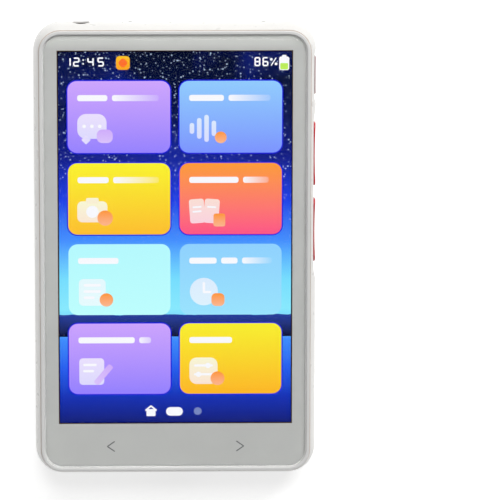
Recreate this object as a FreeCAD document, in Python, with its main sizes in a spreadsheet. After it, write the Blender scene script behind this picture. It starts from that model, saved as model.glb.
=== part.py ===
import FreeCAD, Part

import math
import os
import re

import Sketcher

# A pocket translator lying on its back. The display faces +Z, the end with the
# headphone socket points to +Y and the side with the keys to +X. The origin is
# the middle of the flat back. All lengths are in millimetres.

Vector = FreeCAD.Vector
document = FreeCAD.newDocument("translator")

sizes = {
    # Shell
    "body_width": 62.0,  # across the widest line of the sides
    "body_length": 101.0,
    "body_depth": 12.0,  # back to the top of the glass
    "corner_round": 6.0,  # corners seen from the front
    "belly_height": 6.0,  # height of the widest line
    "belly_round": 11.2,  # radius of the bulging side
    "back_round": 2.5,
    "case_wall": 2.3,
    "case_floor": 1.4,
    "rim_drop": 1.1,  # rim of the tub below the top of the glass
    "rim_wall": 0.42,
    "rebate_depth": 0.95,  # the thin part of the rim
    "fit_gap": 0.1,  # between the two shells
    "seal_thick": 0.1,
    "seam_step": 0.19,  # the lip stands this far inside the rim
    "lip_width": 0.72,
    "lip_drop": 0.25,  # lip below the top of the glass
    "lip_round": 0.2,
    # Front glass and display, from the top down
    "glass_gap": 0.28,
    "glass_thick": 1.1,
    "glass_fall": 0.6,  # how far the rounded edge drops
    "glass_round": 2.2,
    "film_thick": 0.1,
    "film_inset": 0.1,
    "tape_thick": 0.15,
    "tape_inset": 0.2,
    "touch_thick": 0.2,
    "stack_gap": 0.05,
    "panel_thick": 0.95,
    "light_thick": 1.2,
    "cushion_gap": 0.1,
    "plate_thick": 0.8,
    "side_border": 2.88,  # printed border beside the display window
    "head_border": 3.28,  # above it, at the socket end
    "chin_border": 9.58,  # below it
    "window_corner": 0.3,
    "panel_margin": 0.9,  # display beyond its window
    "panel_ledge": 5.0,  # glass ledge below the window, for the display's driver
    "pocket_gap": 0.3,
    # Keys
    "key_height": 4.0,
    "key_corner": 1.5,
    "key_edge": 0.25,
    "key_gap": 0.15,
    "key_inset": 0.05,  # faces inside the widest line of the side
    "key_dish": 0.2,
    "key_travel": 0.25,
    "dish_round": 122.0,
    "dish_stock": 0.45,  # the face is dished out of this much more
    "power_length": 8.4,
    "power_place": 11.8,  # centre from the socket end
    "talk_length": 14.1,
    "talk_upper_place": 29.3,
    "talk_lower_place": 46.3,
    "flange_thick": 0.7,
    "flange_rim": 0.7,
    "seat_wall": 0.95,  # wall left between the scoop and the flange
    "seat_gap": 0.02,
    "nib_length": 0.4,
    "nib_radius": 0.6,
    "scoop_depth": 0.6,
    "scoop_margin": 0.8,
    "scoop_run": 3.0,
    "scoop_round": 12.0,
    "flat_depth": 0.45,  # round the power key
    "flat_run": 1.2,
    "flat_round": 3.0,
    # Key switches on their strip
    "switch_length": 3.2,
    "switch_height": 2.6,
    "switch_deep": 1.45,
    "stem_radius": 0.5,
    "stem_gap": 0.05,
    "stem_inside": 0.85,
    "strip_thick": 0.6,
    "strip_height": 3.6,
    "rail_thick": 0.9,
    "tail_width": 5.0,
    "tail_length": 8.0,
    "tail_shift": 3.0,  # below the middle of the upper talk key
    # Headphone socket
    "jack_side": 10.5,  # centre from the side
    "jack_level": 6.1,
    "jack_bore": 1.8,
    "jack_hole_gap": 0.1,
    "jack_width": 5.2,
    "jack_height": 4.5,
    "jack_length": 12.0,
    "jack_depth": 11.2,
    # Microphones
    "mic_left": 21.3,  # centres from the two sides
    "mic_right": 11.6,
    "mic_level": 5.4,
    "mic_hole": 0.58,
    "mic_radius": 1.6,
    "mic_thick": 1.5,
    "boot_wall": 0.4,
    # Charging socket
    "usb_width": 8.94,
    "usb_height": 3.26,
    "usb_length": 7.3,
    "usb_wall": 0.3,
    "usb_gap": 0.14,
    "usb_level": 5.4,
    "usb_inset": 0.3,
    "tongue_width": 6.7,
    "tongue_thick": 0.7,
    "tongue_length": 4.9,
    # Boards
    "board_thick": 1.0,
    "board_level": 4.6,
    "board_side_gap": 2.48,  # from the rail behind the keys
    "board_length": 42.5,
    "board_end_gap": 2.7,
    "usb_board_side": 8.5,  # from the left side
    "usb_board_speaker_gap": 0.8,
    "usb_board_length": 11.3,
    "usb_board_gap": 0.4,
    "board_corner": 1.0,
    "board_screw_edge": 2.2,  # screw centres from the edges of the main board
    "board_screw_end": 2.6,
    "board_screw_pitch": 26.4,
    "usb_screw_edge": 2.5,
    "flex_thick": 0.15,
    "lcd_flex_width": 12.0,
    "lcd_flex_side": 3.0,
    "ribbon_width": 6.0,
    "ribbon_side": 14.5,
    "lead_width": 4.0,
    "lead_thick": 0.5,
    "lead_side": 10.0,
    "connector_high": 1.0,
    "can_wall": 0.2,
    "can_height": 1.5,
    "can_side": 19.5,  # centre from the right edge of the board
    "can_width": 22.0,
    "can_length": 18.0,
    "can_place": 21.0,  # centre from the lower edge of the board
    "radio_width": 16.0,
    "radio_length": 8.6,
    "radio_place": 36.6,
    "can_margin": 1.0,  # round the chips
    "processor_side": 11.0,
    "memory_width": 8.0,
    "memory_length": 12.0,
    "radio_side": 6.0,
    "chip_high": 0.9,
    # Battery
    "battery_rail_gap": 2.98,
    "battery_wall_gap": 4.7,
    "battery_foot_gap": 3.5,  # from the charging board
    "battery_thick": 4.9,
    "battery_gap": 2.0,
    "battery_corner": 1.5,
    "battery_tape_inset": 4.0,
    "battery_round": 1.2,
    # Sound
    "speaker_side": 15.0,  # centre from the side
    "speaker_width": 12.8,
    "speaker_length": 10.0,
    "speaker_thick": 3.5,
    "speaker_end": 1.4,  # from the end wall
    "speaker_corner": 1.2,
    "mesh_margin": 0.75,
    "slot_length": 9.0,
    "slot_width": 0.9,
    "slot_pitch": 1.8,
    "slot_count": 5,
    # Camera and lamp in the back
    "camera_side": 15.0,  # centre from the side
    "camera_place": 12.5,  # centre from the socket end
    "camera_width": 8.5,
    "camera_base": 1.9,
    "camera_barrel": 3.1,
    "ring_radius": 4.9,
    "ring_high": 1.0,
    "ring_inset": 0.1,
    "ring_gap": 0.05,
    "pane_radius": 3.85,
    "pane_thick": 0.5,
    "camera_hole": 2.9,
    "camera_flash_pitch": 9.0,
    "flash_radius": 1.6,
    "flash_stem": 1.2,
    "led_width": 2.0,
    "led_high": 0.8,
    # Fasteners
    "post_side": 5.6,  # screw centres from the sides
    "post_end": 5.9,
    "post_radius": 2.1,
    "boss_radius": 2.9,
    "boss_high": 0.8,
    "screw_radius": 0.8,
    "screw_length": 4.9,
    "head_radius": 1.5,
    "head_high": 0.9,
    "head_gap": 0.25,
    "thread_gap": 0.05,
    "recess_width": 0.45,
    "recess_span": 1.7,
    "recess_deep": 0.5,
    "standoff_radius": 1.6,
    "small_screw": 0.6,
    "small_head": 1.2,
    "small_head_high": 0.6,
    "small_reach": 1.3,
    "antenna_length": 30.0,
    "antenna_height": 4.0,
    "antenna_level": 2.2,
}

# Heights and places worked out from the sizes above.
places = {
    "half_width": "body_width / 2",
    "half_length": "body_length / 2",
    "cavity_width": "body_width - 2 * case_wall",
    "cavity_length": "body_length - 2 * case_wall",
    "cavity_round": "corner_round - case_wall",
    "belly_centre": "half_width - belly_round",
    "rim_height": "body_depth - rim_drop",
    "rim_inset": "belly_round - sqrt(belly_round ^ 2 - (rim_height - belly_height) ^ 2)",
    "rebate_inset": "rim_inset + rim_wall",
    "lip_inset": "rim_inset + seam_step",
    "lip_bottom": "rim_height + seal_thick",
    "lip_top": "body_depth - lip_drop",
    "mouth_inset": "lip_inset + lip_width",
    "glass_inset": "mouth_inset + glass_gap",
    "glass_width": "body_width - 2 * glass_inset",
    "glass_length": "body_length - 2 * glass_inset",
    "glass_corner": "corner_round - glass_inset",
    "glass_bottom": "body_depth - glass_thick",
    "glass_shoulder": "body_depth - glass_fall",
    "glass_run": "sqrt(2 * glass_round * glass_fall - glass_fall ^ 2)",
    "film_bottom": "glass_bottom - film_thick",
    "ledge_top": "film_bottom - tape_thick",
    "touch_bottom": "film_bottom - touch_thick",
    "panel_top": "touch_bottom - stack_gap",
    "panel_bottom": "panel_top - panel_thick",
    "light_bottom": "panel_bottom - light_thick",
    "plate_top": "light_bottom - cushion_gap",
    "plate_bottom": "plate_top - plate_thick",
    "window_width": "glass_width - 2 * side_border",
    "window_low": "glass_inset + chin_border - half_length",
    "window_high": "half_length - glass_inset - head_border",
    "window_length": "window_high - window_low",
    "window_shift": "(window_high + window_low) / 2",
    "panel_width": "window_width + 2 * panel_margin",
    "panel_low": "window_low - panel_ledge",
    "panel_high": "window_high + panel_margin",
    "panel_length": "panel_high - panel_low",
    "panel_centre": "(panel_high + panel_low) / 2",
    "light_low": "window_low - panel_margin",
    "pocket_width": "panel_width + 2 * pocket_gap",
    "pocket_length": "panel_length + 2 * pocket_gap",
    "power_centre": "half_length - power_place",
    "talk_upper_centre": "half_length - talk_upper_place",
    "talk_lower_centre": "half_length - talk_lower_place",
    "scoop_face": "half_width - scoop_depth",
    "scoop_high": "talk_upper_centre + talk_length / 2 + scoop_margin",
    "scoop_low": "talk_lower_centre - talk_length / 2 - scoop_margin",
    "flat_high": "power_centre + power_length / 2 + scoop_margin",
    "flat_low": "power_centre - power_length / 2 - scoop_margin",
    "flange_seat": "scoop_face - seat_wall",
    "flange_outer": "flange_seat - seat_gap",
    "flange_inner": "flange_outer - flange_thick",
    "stem_tip": "flange_inner - nib_length",
    "switch_face": "stem_tip - key_travel - 0.1",
    "strip_outer": "switch_face - switch_deep",
    "strip_inner": "strip_outer - strip_thick",
    "rail_outer": "strip_inner - stack_gap",
    "rail_inner": "rail_outer - rail_thick",
    "strip_low": "talk_lower_centre - switch_length * 2",
    "strip_high": "power_centre + switch_length",
    "strip_top": "plate_bottom - stack_gap",
    "tail_centre": "talk_upper_centre - tail_shift",
    "board_top": "board_level + board_thick",
    "board_high": "half_length - case_wall - board_end_gap",
    "board_low": "board_high - board_length",
    "board_side": "rail_inner - board_side_gap",
    "board_width": "2 * board_side",
    "board_screw_x": "board_side - board_screw_edge",
    "board_screw_low": "board_low + board_screw_end",
    "board_screw_high": "board_screw_low + board_screw_pitch",
    "can_x": "board_side - can_side",
    "can_y": "board_low + can_place",
    "radio_y": "board_low + radio_place",
    "usb_board_top": "usb_level - usb_height / 2",
    "usb_board_low": "case_wall + usb_board_gap - half_length",
    "usb_board_high": "usb_board_low + usb_board_length",
    "usb_board_left": "half_width - usb_board_side",
    "usb_board_right": "speaker_x - speaker_width / 2 - usb_board_speaker_gap",
    "usb_screw_y": "usb_board_high - usb_screw_edge",
    "battery_high": "board_low - battery_gap",
    "battery_low": "usb_board_high + battery_foot_gap",
    "battery_length": "battery_high - battery_low",
    "battery_right": "rail_inner - battery_rail_gap",
    "battery_left": "cavity_width / 2 - battery_wall_gap",
    "battery_width": "battery_right + battery_left",
    "battery_x": "(battery_right - battery_left) / 2",
    "battery_bottom": "case_floor + tape_thick",
    "battery_top": "battery_bottom + battery_thick",
    "ribbon_level": "battery_top + flex_thick",
    "lcd_flex_level": "plate_bottom - 3 * flex_thick",
    "inner_end": "half_length - case_wall",
    "camera_x": "half_width - camera_side",
    "camera_y": "half_length - camera_place",
    "flash_x": "camera_x - camera_flash_pitch",
    "jack_x": "jack_side - half_width",
    "mic_left_x": "mic_left - half_width",
    "mic_right_x": "half_width - mic_right",
    "speaker_x": "half_width - speaker_side",
    "seat_top": "ring_inset + ring_high",
    "post_x": "half_width - post_side",
    "post_y": "half_length - post_end",
    "boss_top": "case_floor + boss_high",
    "head_seat": "head_gap + head_high",
    "speaker_low": "case_wall + speaker_end - half_length",
    "speaker_centre": "speaker_low + speaker_length / 2",
    "boot_length": "board_end_gap - 3 * stack_gap",
}

sheet = document.addObject("Spreadsheet::Sheet", "Sizes")
for row, (name, number) in enumerate(sizes.items(), start=1):
    sheet.set("A%d" % row, name)
    sheet.set("B%d" % row, str(number))
    sheet.setAlias("B%d" % row, name)
document.recompute()


def expression(text):
    """Spell a formula out in the cells of the sheet."""

    def spell(match):
        word = match.group(0)
        if word in sizes:
            return "Sizes." + word
        if word in places:
            return "(" + expression(places[word]) + ")"
        return word

    return re.sub(r"[a-z_]+", spell, text)


def bind(item, **formulas):
    """Tie properties of an object to formulas."""
    for name, text in formulas.items():
        item.setExpression(name, expression(str(text)))


def locate(item, x, y, z):
    for axis, text in zip("xyz", (x, y, z)):
        item.setExpression("Placement.Base." + axis, expression(str(text)))


turns = {
    "z": FreeCAD.Rotation(),
    "y": FreeCAD.Rotation(Vector(1, 0, 0), -90),
    "x": FreeCAD.Rotation(Vector(0, 1, 0), 90),
}


def new_body(name):
    body = document.addObject("PartDesign::Body", name)
    body.Label = name
    return body


def origin_plane(body, role):
    return next(item for item in body.Origin.OriginFeatures if item.Role == role)


def new_sketch(body, name, role, offsets):
    sketch = body.newObject("Sketcher::SketchObject", name)
    sketch.AttachmentSupport = [(origin_plane(body, role), "")]
    sketch.MapMode = "FlatFace"
    for axis, text in zip("xyz", offsets):
        sketch.setExpression("AttachmentOffset.Base." + axis, expression(str(text)))
    return sketch


def hold(sketch, label, constraint, text):
    index = sketch.addConstraint(constraint)
    sketch.renameConstraint(index, label)
    sketch.setExpression("Constraints." + label, expression(str(text)))


def rounded(body, name, width, length, corner, at=("0", "0", "0"), role="XY_Plane"):
    """A rectangle with round corners, centred on the offset."""
    sketch = new_sketch(body, name, role, at)
    wide, tall, arc = 10.0, 20.0, 2.0
    corners = [(1, -1, -90), (1, 1, 0), (-1, 1, 90), (-1, -1, 180)]
    sketch.addGeometry([
        Part.LineSegment(Vector(arc - wide, -tall, 0), Vector(wide - arc, -tall, 0)),
        Part.LineSegment(Vector(wide, arc - tall, 0), Vector(wide, tall - arc, 0)),
        Part.LineSegment(Vector(wide - arc, tall, 0), Vector(arc - wide, tall, 0)),
        Part.LineSegment(Vector(-wide, tall - arc, 0), Vector(-wide, arc - tall, 0)),
    ], False)
    for side, end, start in corners:
        circle = Part.Circle(Vector(side * (wide - arc), end * (tall - arc), 0), Vector(0, 0, 1), arc)
        sweep = Part.ArcOfCircle(circle, math.radians(start), math.radians(start + 90))
        sketch.addGeometry(sweep, False)
    for side in range(4):
        sketch.addConstraint(Sketcher.Constraint("Tangent", side, 2, 4 + side, 1))
        sketch.addConstraint(Sketcher.Constraint("Tangent", 4 + side, 2, (side + 1) % 4, 1))
    for side in (0, 2):
        sketch.addConstraint(Sketcher.Constraint("Horizontal", side))
        sketch.addConstraint(Sketcher.Constraint("Vertical", side + 1))
    for side in (4, 5, 6):
        sketch.addConstraint(Sketcher.Constraint("Equal", side, side + 1))
    sketch.addConstraint(Sketcher.Constraint("Symmetric", 3, 2, 1, 2, -1, 1))
    hold(sketch, "wide", Sketcher.Constraint("DistanceX", 3, 2, 1, 1, 2 * wide), width)
    hold(sketch, "tall", Sketcher.Constraint("DistanceY", 0, 2, 2, 1, 2 * tall), length)
    hold(sketch, "corner", Sketcher.Constraint("Radius", 4, arc), corner)
    return sketch


def polygon(body, name, points, guess, role="XY_Plane", level="0"):
    """Straight lines through points given as pairs of formulas."""
    sketch = new_sketch(body, name, role, ("0", "0", level))
    count = len(points)
    for index in range(count):
        start = Vector(*guess[index], 0)
        end = Vector(*guess[(index + 1) % count], 0)
        sketch.addGeometry(Part.LineSegment(start, end), False)
    for index in range(count):
        sketch.addConstraint(Sketcher.Constraint("Coincident", index, 2, (index + 1) % count, 1))
    for index, (across, up) in enumerate(points):
        for kind, axis, text in (("DistanceX", 0, across), ("DistanceY", 1, up)):
            start = float(guess[index][axis])
            link = Sketcher.Constraint(kind, -1, 1, index, 1, start)
            hold(sketch, "p%d%s" % (index, "xy"[axis]), link, text)
    return sketch


def bulged(body, name, centre, radius, lower, upper, root, guess, level="0"):
    """A profile on the XZ plane: an arc between two heights, and a straight back."""
    sketch = new_sketch(body, name, "XZ_Plane", ("0", "0", level))
    middle_x, middle_z, arc_radius, low, high, back = guess
    reach = [
        middle_x + math.sqrt(arc_radius ** 2 - (height - middle_z) ** 2) for height in (low, high)
    ]
    circle = Part.Circle(Vector(middle_x, middle_z, 0), Vector(0, 0, 1), arc_radius)
    start = math.asin((low - middle_z) / arc_radius)
    end = math.asin((high - middle_z) / arc_radius)
    sketch.addGeometry(Part.ArcOfCircle(circle, start, end), False)
    corners = [(reach[1], high), (back, high), (back, low), (reach[0], low)]
    for first, second in zip(corners, corners[1:]):
        sketch.addGeometry(Part.LineSegment(Vector(*first, 0), Vector(*second, 0)), False)
    for first, first_end, second, second_end in ((0, 2, 1, 1), (1, 2, 2, 1), (2, 2, 3, 1), (3, 2, 0, 1)):
        sketch.addConstraint(Sketcher.Constraint("Coincident", first, first_end, second, second_end))
    sketch.addConstraint(Sketcher.Constraint("Horizontal", 1))
    sketch.addConstraint(Sketcher.Constraint("Vertical", 2))
    sketch.addConstraint(Sketcher.Constraint("Horizontal", 3))
    hold(sketch, "radius", Sketcher.Constraint("Radius", 0, arc_radius), radius)
    hold(sketch, "middlex", Sketcher.Constraint("DistanceX", -1, 1, 0, 3, middle_x), centre[0])
    hold(sketch, "middlez", Sketcher.Constraint("DistanceY", -1, 1, 0, 3, middle_z), centre[1])
    hold(sketch, "high", Sketcher.Constraint("DistanceY", -1, 1, 1, 2, high), upper)
    hold(sketch, "low", Sketcher.Constraint("DistanceY", -1, 1, 2, 2, low), lower)
    hold(sketch, "back", Sketcher.Constraint("DistanceX", -1, 1, 1, 2, back), root)
    return sketch


def pad(body, name, sketch, length):
    feature = body.newObject("PartDesign::Pad", name)
    feature.Profile = sketch
    bind(feature, Length=length)
    return feature


def pocket(body, name, sketch, length, outward=False):
    """Cut against the sketch's normal, or along it where outward is set."""
    feature = body.newObject("PartDesign::Pocket", name)
    feature.Profile = sketch
    feature.Reversed = outward
    bind(feature, Length=length)
    return feature


def block(body, name, low, high, cut=False):
    """A box between two corners, added or cut."""
    kind = "PartDesign::SubtractiveBox" if cut else "PartDesign::AdditiveBox"
    feature = body.newObject(kind, name)
    for side, first, second in zip(("Length", "Width", "Height"), low, high):
        feature.setExpression(side, expression("(%s) - (%s)" % (second, first)))
    locate(feature, *low)
    return feature


def rod(body, name, radius, length, at, axis="z", cut=False):
    """A round bar along an axis from a point, added or cut."""
    kind = "PartDesign::SubtractiveCylinder" if cut else "PartDesign::AdditiveCylinder"
    feature = body.newObject(kind, name)
    feature.Placement = FreeCAD.Placement(Vector(), turns[axis])
    bind(feature, Radius=radius, Height=length)
    locate(feature, *at)
    return feature


def bulged_slab(body, name, width, length, corner, profile, lower, upper, root):
    """A slab whose side all round is the profile: a solid middle and a swept edge."""
    spine = rounded(body, name + "_path", width, length, corner, ("0", "0", lower))
    middle_sketch = rounded(
        body, name + "_middle_outline",
        "%s - 2 * (%s)" % (width, root), "%s - 2 * (%s)" % (length, root),
        "%s - (%s)" % (corner, root), ("0", "0", lower),
    )
    pad(body, name + "_middle", middle_sketch, "(%s) - (%s)" % (upper, lower))
    edge = body.newObject("PartDesign::AdditivePipe", name + "_edge")
    edge.Profile = profile
    edge.Spine = (spine, [])
    return edge


def edges_where(feature, test):
    """Names of a feature's edges whose bounding box passes a test."""
    document.recompute()
    found = []
    for index, edge in enumerate(feature.Shape.Edges, start=1):
        if test(edge.BoundBox):
            found.append("Edge%d" % index)
    return found


def fillet(body, name, radius, test):
    base = body.Tip
    feature = body.newObject("PartDesign::Fillet", name)
    feature.Base = (base, edges_where(base, test))
    bind(feature, Radius=radius)
    return feature


def flat_at(height, box):
    """True for an edge that lies in the level plane at a height."""
    return abs(box.ZMin - height) < 0.001 and abs(box.ZMax - height) < 0.001


keys = {
    "power_key": ("power_length", "power_centre"),
    "talk_key_upper": ("talk_length", "talk_upper_centre"),
    "talk_key_lower": ("talk_length", "talk_lower_centre"),
}
post_signs = [(-1, -1), (1, -1), (-1, 1), (1, 1)]
board_screw_spots = [
    ("-board_screw_x", "board_screw_low", "board_top"),
    ("board_screw_x", "board_screw_low", "board_top"),
    ("-board_screw_x", "board_screw_high", "board_top"),
    ("board_screw_x", "board_screw_high", "board_top"),
    ("usb_screw_edge - usb_board_left", "usb_screw_y", "usb_board_top"),
    ("usb_board_right - usb_screw_edge", "usb_screw_y", "usb_board_top"),
]


def rear_case():
    body = new_body("rear_case")
    profile = bulged(
        body, "side_profile", ("belly_centre", "belly_height"), "belly_round",
        "0", "rim_height", "half_width - corner_round / 2", (19.8, 6.0, 11.2, 0.0, 10.9, 28.0),
    )
    bulged_slab(
        body, "tub", "body_width", "body_length", "corner_round", profile,
        "0", "rim_height", "corner_round / 2",
    )
    fillet(body, "back_edge", "back_round", lambda box: flat_at(0.0, box))
    cavity = rounded(
        body, "cavity_outline", "cavity_width", "cavity_length", "cavity_round",
        ("0", "0", "rim_height"),
    )
    pocket(body, "cavity", cavity, "rim_height - case_floor")
    rebate = rounded(
        body, "rebate_outline", "body_width - 2 * rebate_inset", "body_length - 2 * rebate_inset",
        "corner_round - rebate_inset", ("0", "0", "rim_height"),
    )
    pocket(body, "rebate", rebate, "rebate_depth")
    scoop_cut(
        body, "scoop", "scoop_depth", "scoop_low", "scoop_high", "scoop_run", "scoop_round",
        [(30.4, -3.6), (30.4, 29.0), (31.4, 34.0), (33.0, 34.0), (33.0, -8.6), (31.4, -8.6)],
    )
    scoop_cut(
        body, "power_flat", "flat_depth", "flat_low", "flat_high", "flat_run", "flat_round",
        [(30.6, 33.7), (30.6, 43.7), (31.4, 46.0), (33.0, 46.0), (33.0, 31.4), (31.4, 31.4)],
    )
    for name, (length, centre) in keys.items():
        slot = rounded(
            body, name + "_slot_outline", length + " + 2 * key_gap", "key_height + 2 * key_gap",
            "key_corner + key_gap", (centre, "belly_height", "half_width + 1"), "YZ_Plane",
        )
        pocket(body, name + "_slot", slot, "case_wall + 1.1")
        seat = rounded(
            body, name + "_seat_outline", length + " + 2 * (flange_rim + key_gap)",
            "key_height + 2 * (flange_rim + key_gap)", "key_corner + flange_rim",
            (centre, "belly_height", "half_width - case_wall - 0.1"), "YZ_Plane",
        )
        pocket(body, name + "_seat", seat, "flange_seat - half_width + case_wall + 0.1", outward=True)
    end_holes(body)
    back_holes(body)
    return body


def scoop_cut(body, name, depth, low, high, run, bend, guess):
    """A shallow scoop along the key side, with ramps at its ends."""
    outward = "0.4"
    ramp = "%s * (%s + %s) / %s" % (run, depth, outward, depth)
    floor = "half_width - " + depth
    points = [
        (floor, low),
        (floor, high),
        ("half_width + " + outward, "%s + %s" % (high, ramp)),
        ("half_width + 2", "%s + %s" % (high, ramp)),
        ("half_width + 2", "%s - %s" % (low, ramp)),
        ("half_width + " + outward, "%s - %s" % (low, ramp)),
    ]
    outline = polygon(body, name + "_outline", points, guess, level="rim_height")
    pocket(body, name, outline, "rim_height")
    document.recompute()
    face = sizes["body_width"] / 2 - sizes[depth]

    def upright_corner(box):
        on_face = abs(box.XMax - face) < 0.001 and box.XLength < 0.001
        return on_face and box.YLength < 0.001 and box.ZLength > 3.0

    fillet(body, name + "_bends", bend, upright_corner)


def end_holes(body):
    """The socket's hole and two sound holes in one end, the charging hole in the other."""
    inside = "inner_end - 0.5"
    through = "case_wall + 1"
    jack_spot = ("jack_x", inside, "jack_level")
    rod(body, "jack_hole", "jack_bore + jack_hole_gap", through, jack_spot, "y", True)
    for name, x in (("left", "mic_left_x"), ("right", "mic_right_x")):
        rod(body, "mic_hole_" + name, "mic_hole", through, (x, inside, "mic_level"), "y", True)
    mouth = rounded(
        body, "usb_outline", "usb_width + 2 * usb_gap", "usb_height + 2 * usb_gap",
        "(usb_height + 2 * usb_gap) * 0.49", ("0", "usb_level", "half_length + 1"), "XZ_Plane",
    )
    pocket(body, "usb_hole", mouth, "case_wall + 1.5")


def back_holes(body):
    """Screw seats, the camera's and lamp's places and the speaker's slots in the back."""
    for index, (side, end) in enumerate(post_signs):
        spot = ("%d * post_x" % side, "%d * post_y" % end)
        rod(body, "boss_%d" % index, "boss_radius", "boss_high + 0.2", (*spot, "case_floor - 0.2"))
    for index, (side, end) in enumerate(post_signs):
        spot = ("%d * post_x" % side, "%d * post_y" % end)
        rod(body, "head_hole_%d" % index, "head_radius + head_gap", "head_seat", (*spot, "0"), cut=True)
        rod(body, "screw_hole_%d" % index, "screw_radius + 0.1", "boss_top + 1", (*spot, "0"), cut=True)
    camera = ("camera_x", "camera_y")
    flash = ("flash_x", "camera_y")
    rod(body, "ring_seat", "ring_radius + ring_gap", "seat_top", (*camera, "0"), cut=True)
    rod(body, "camera_hole", "camera_hole + ring_gap", "case_floor + 1", (*camera, "0"), cut=True)
    rod(body, "flash_hole", "flash_radius + ring_gap", "case_floor + 1", (*flash, "0"), cut=True)
    slot = rounded(
        body, "speaker_slot_outline", "slot_length", "slot_width", "slot_width * 0.49",
        ("speaker_x", "speaker_centre - slot_pitch * (slot_count - 1) / 2", "case_floor + 0.5"),
    )
    first = pocket(body, "speaker_slot", slot, "case_floor + 1")
    slots = body.newObject("PartDesign::LinearPattern", "speaker_slots")
    slots.Originals = [first]
    slots.Direction = (slot, ["V_Axis"])
    bind(slots, Length="slot_pitch * (slot_count - 1)", Occurrences="slot_count")
    body.Tip = slots


def front_frame():
    body = new_body("front_frame")
    layers = [
        ("skirt", "case_wall + fit_gap", "plate_bottom", "rim_height - rebate_depth + fit_gap"),
        ("step", "rebate_inset + fit_gap", "rim_height - rebate_depth + fit_gap", "lip_bottom"),
        ("lip", "lip_inset", "lip_bottom", "lip_top"),
    ]
    for name, inset, lower, upper in layers:
        outline = rounded(
            body, name + "_outline", "body_width - 2 * (%s)" % inset, "body_length - 2 * (%s)" % inset,
            "corner_round - (%s)" % inset, ("0", "0", lower),
        )
        pad(body, name, outline, "(%s) - (%s)" % (upper, lower))
    mouth = rounded(
        body, "mouth_outline", "body_width - 2 * mouth_inset", "body_length - 2 * mouth_inset",
        "corner_round - mouth_inset", ("0", "0", "lip_top"),
    )
    pocket(body, "mouth", mouth, "lip_top - ledge_top")
    lip_top = sizes["body_depth"] - sizes["lip_drop"]
    fillet(body, "lip_edges", "lip_round", lambda box: flat_at(lip_top, box))
    display = rounded(
        body, "pocket_outline", "pocket_width", "pocket_length", "1", ("0", "panel_centre", "ledge_top"),
    )
    pocket(body, "display_pocket", display, "ledge_top - plate_top")
    block(
        body, "key_rail",
        ("rail_inner", "strip_low", "strip_top - strip_height"),
        ("rail_outer", "strip_high", "plate_bottom + 0.1"),
    )
    for index, (side, end) in enumerate(post_signs):
        spot = ("%d * post_x" % side, "%d * post_y" % end)
        base = "boss_top + fit_gap"
        rod(body, "post_%d" % index, "post_radius", "plate_bottom + 0.1 - (%s)" % base, (*spot, base))
    for index, (x, y, top) in enumerate(board_screw_spots):
        rod(body, "standoff_%d" % index, "standoff_radius", "plate_bottom + 0.1 - (%s)" % top, (x, y, top))
    for index, (side, end) in enumerate(post_signs):
        spot = ("%d * post_x" % side, "%d * post_y" % end)
        rod(
            body, "post_hole_%d" % index, "screw_radius + thread_gap", "head_seat + screw_length + 0.3",
            (*spot, "0"), cut=True,
        )
    for index, (x, y, top) in enumerate(board_screw_spots):
        base = "(%s) - 0.5" % top
        rod(
            body, "standoff_hole_%d" % index, "small_screw + thread_gap", "small_reach + 0.7",
            (x, y, base), cut=True,
        )
    frame_notches(body)
    return body


def frame_notches(body):
    """Room in the frame for the socket, the key flanges, the key tail and the display's flex."""
    block(
        body, "jack_notch",
        ("jack_x - jack_width / 2 - fit_gap", "inner_end - jack_length - 0.6", "plate_bottom - 1"),
        ("jack_x + jack_width / 2 + fit_gap", "inner_end + 1", "jack_level + jack_height / 2 + 0.1"),
        cut=True,
    )
    roof = "belly_height + key_height / 2 + flange_rim + 0.2"
    for name, (length, centre) in keys.items():
        reach = "(%s) / 2 + flange_rim + 0.3" % length
        block(
            body, name + "_notch",
            ("flange_inner - key_travel - 0.3", "%s - (%s)" % (centre, reach), "plate_bottom - 1"),
            ("half_width", "%s + (%s)" % (centre, reach), roof), cut=True,
        )
    tail_side = "tail_width / 2 + 0.5"
    block(
        body, "tail_notch",
        ("rail_inner - 1", "tail_centre - (%s)" % tail_side, "strip_top - strip_height - 1"),
        ("rail_outer + 0.01", "tail_centre + (%s)" % tail_side, "board_top + flex_thick + 0.3"),
        cut=True,
    )
    block(
        body, "flex_slot",
        ("-lcd_flex_side - lcd_flex_width / 2 - 0.5", "light_low - 2", "plate_bottom - 1"),
        ("-lcd_flex_side + lcd_flex_width / 2 + 0.5", "light_low - 0.5", "plate_top + 0.01"),
        cut=True,
    )


def seam_seal():
    """The thin bead between the rim of the tub and the lip of the frame."""
    body = new_body("seam_seal")
    inset = "rim_inset + 0.03"
    outline = rounded(
        body, "outline", "body_width - 2 * (%s)" % inset, "body_length - 2 * (%s)" % inset,
        "corner_round - (%s)" % inset, ("0", "0", "rim_height"),
    )
    pad(body, "bead", outline, "seal_thick")
    hole = rounded(
        body, "hole_outline", "body_width - 2 * rebate_inset", "body_length - 2 * rebate_inset",
        "corner_round - rebate_inset", ("0", "0", "lip_bottom"),
    )
    pocket(body, "hole", hole, "seal_thick * 2")
    return body


def cover_glass():
    body = new_body("cover_glass")
    outline = rounded(
        body, "outline", "glass_width", "glass_length", "glass_corner", ("0", "0", "glass_bottom"),
    )
    pad(body, "plate", outline, "glass_shoulder - glass_bottom")
    edge = "glass_width / 2"
    profile = bulged(
        body, "edge_profile", (edge + " - glass_run", "body_depth - glass_round"), "glass_round",
        "glass_shoulder", "body_depth", edge + " - glass_corner * 0.8",
        (27.17, 9.8, 2.2, 11.4, 12.0, 25.8),
    )
    bulged_slab(
        body, "crown", "glass_width", "glass_length", "glass_corner", profile,
        "glass_shoulder", "body_depth", "glass_corner * 0.8",
    )
    return body


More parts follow.
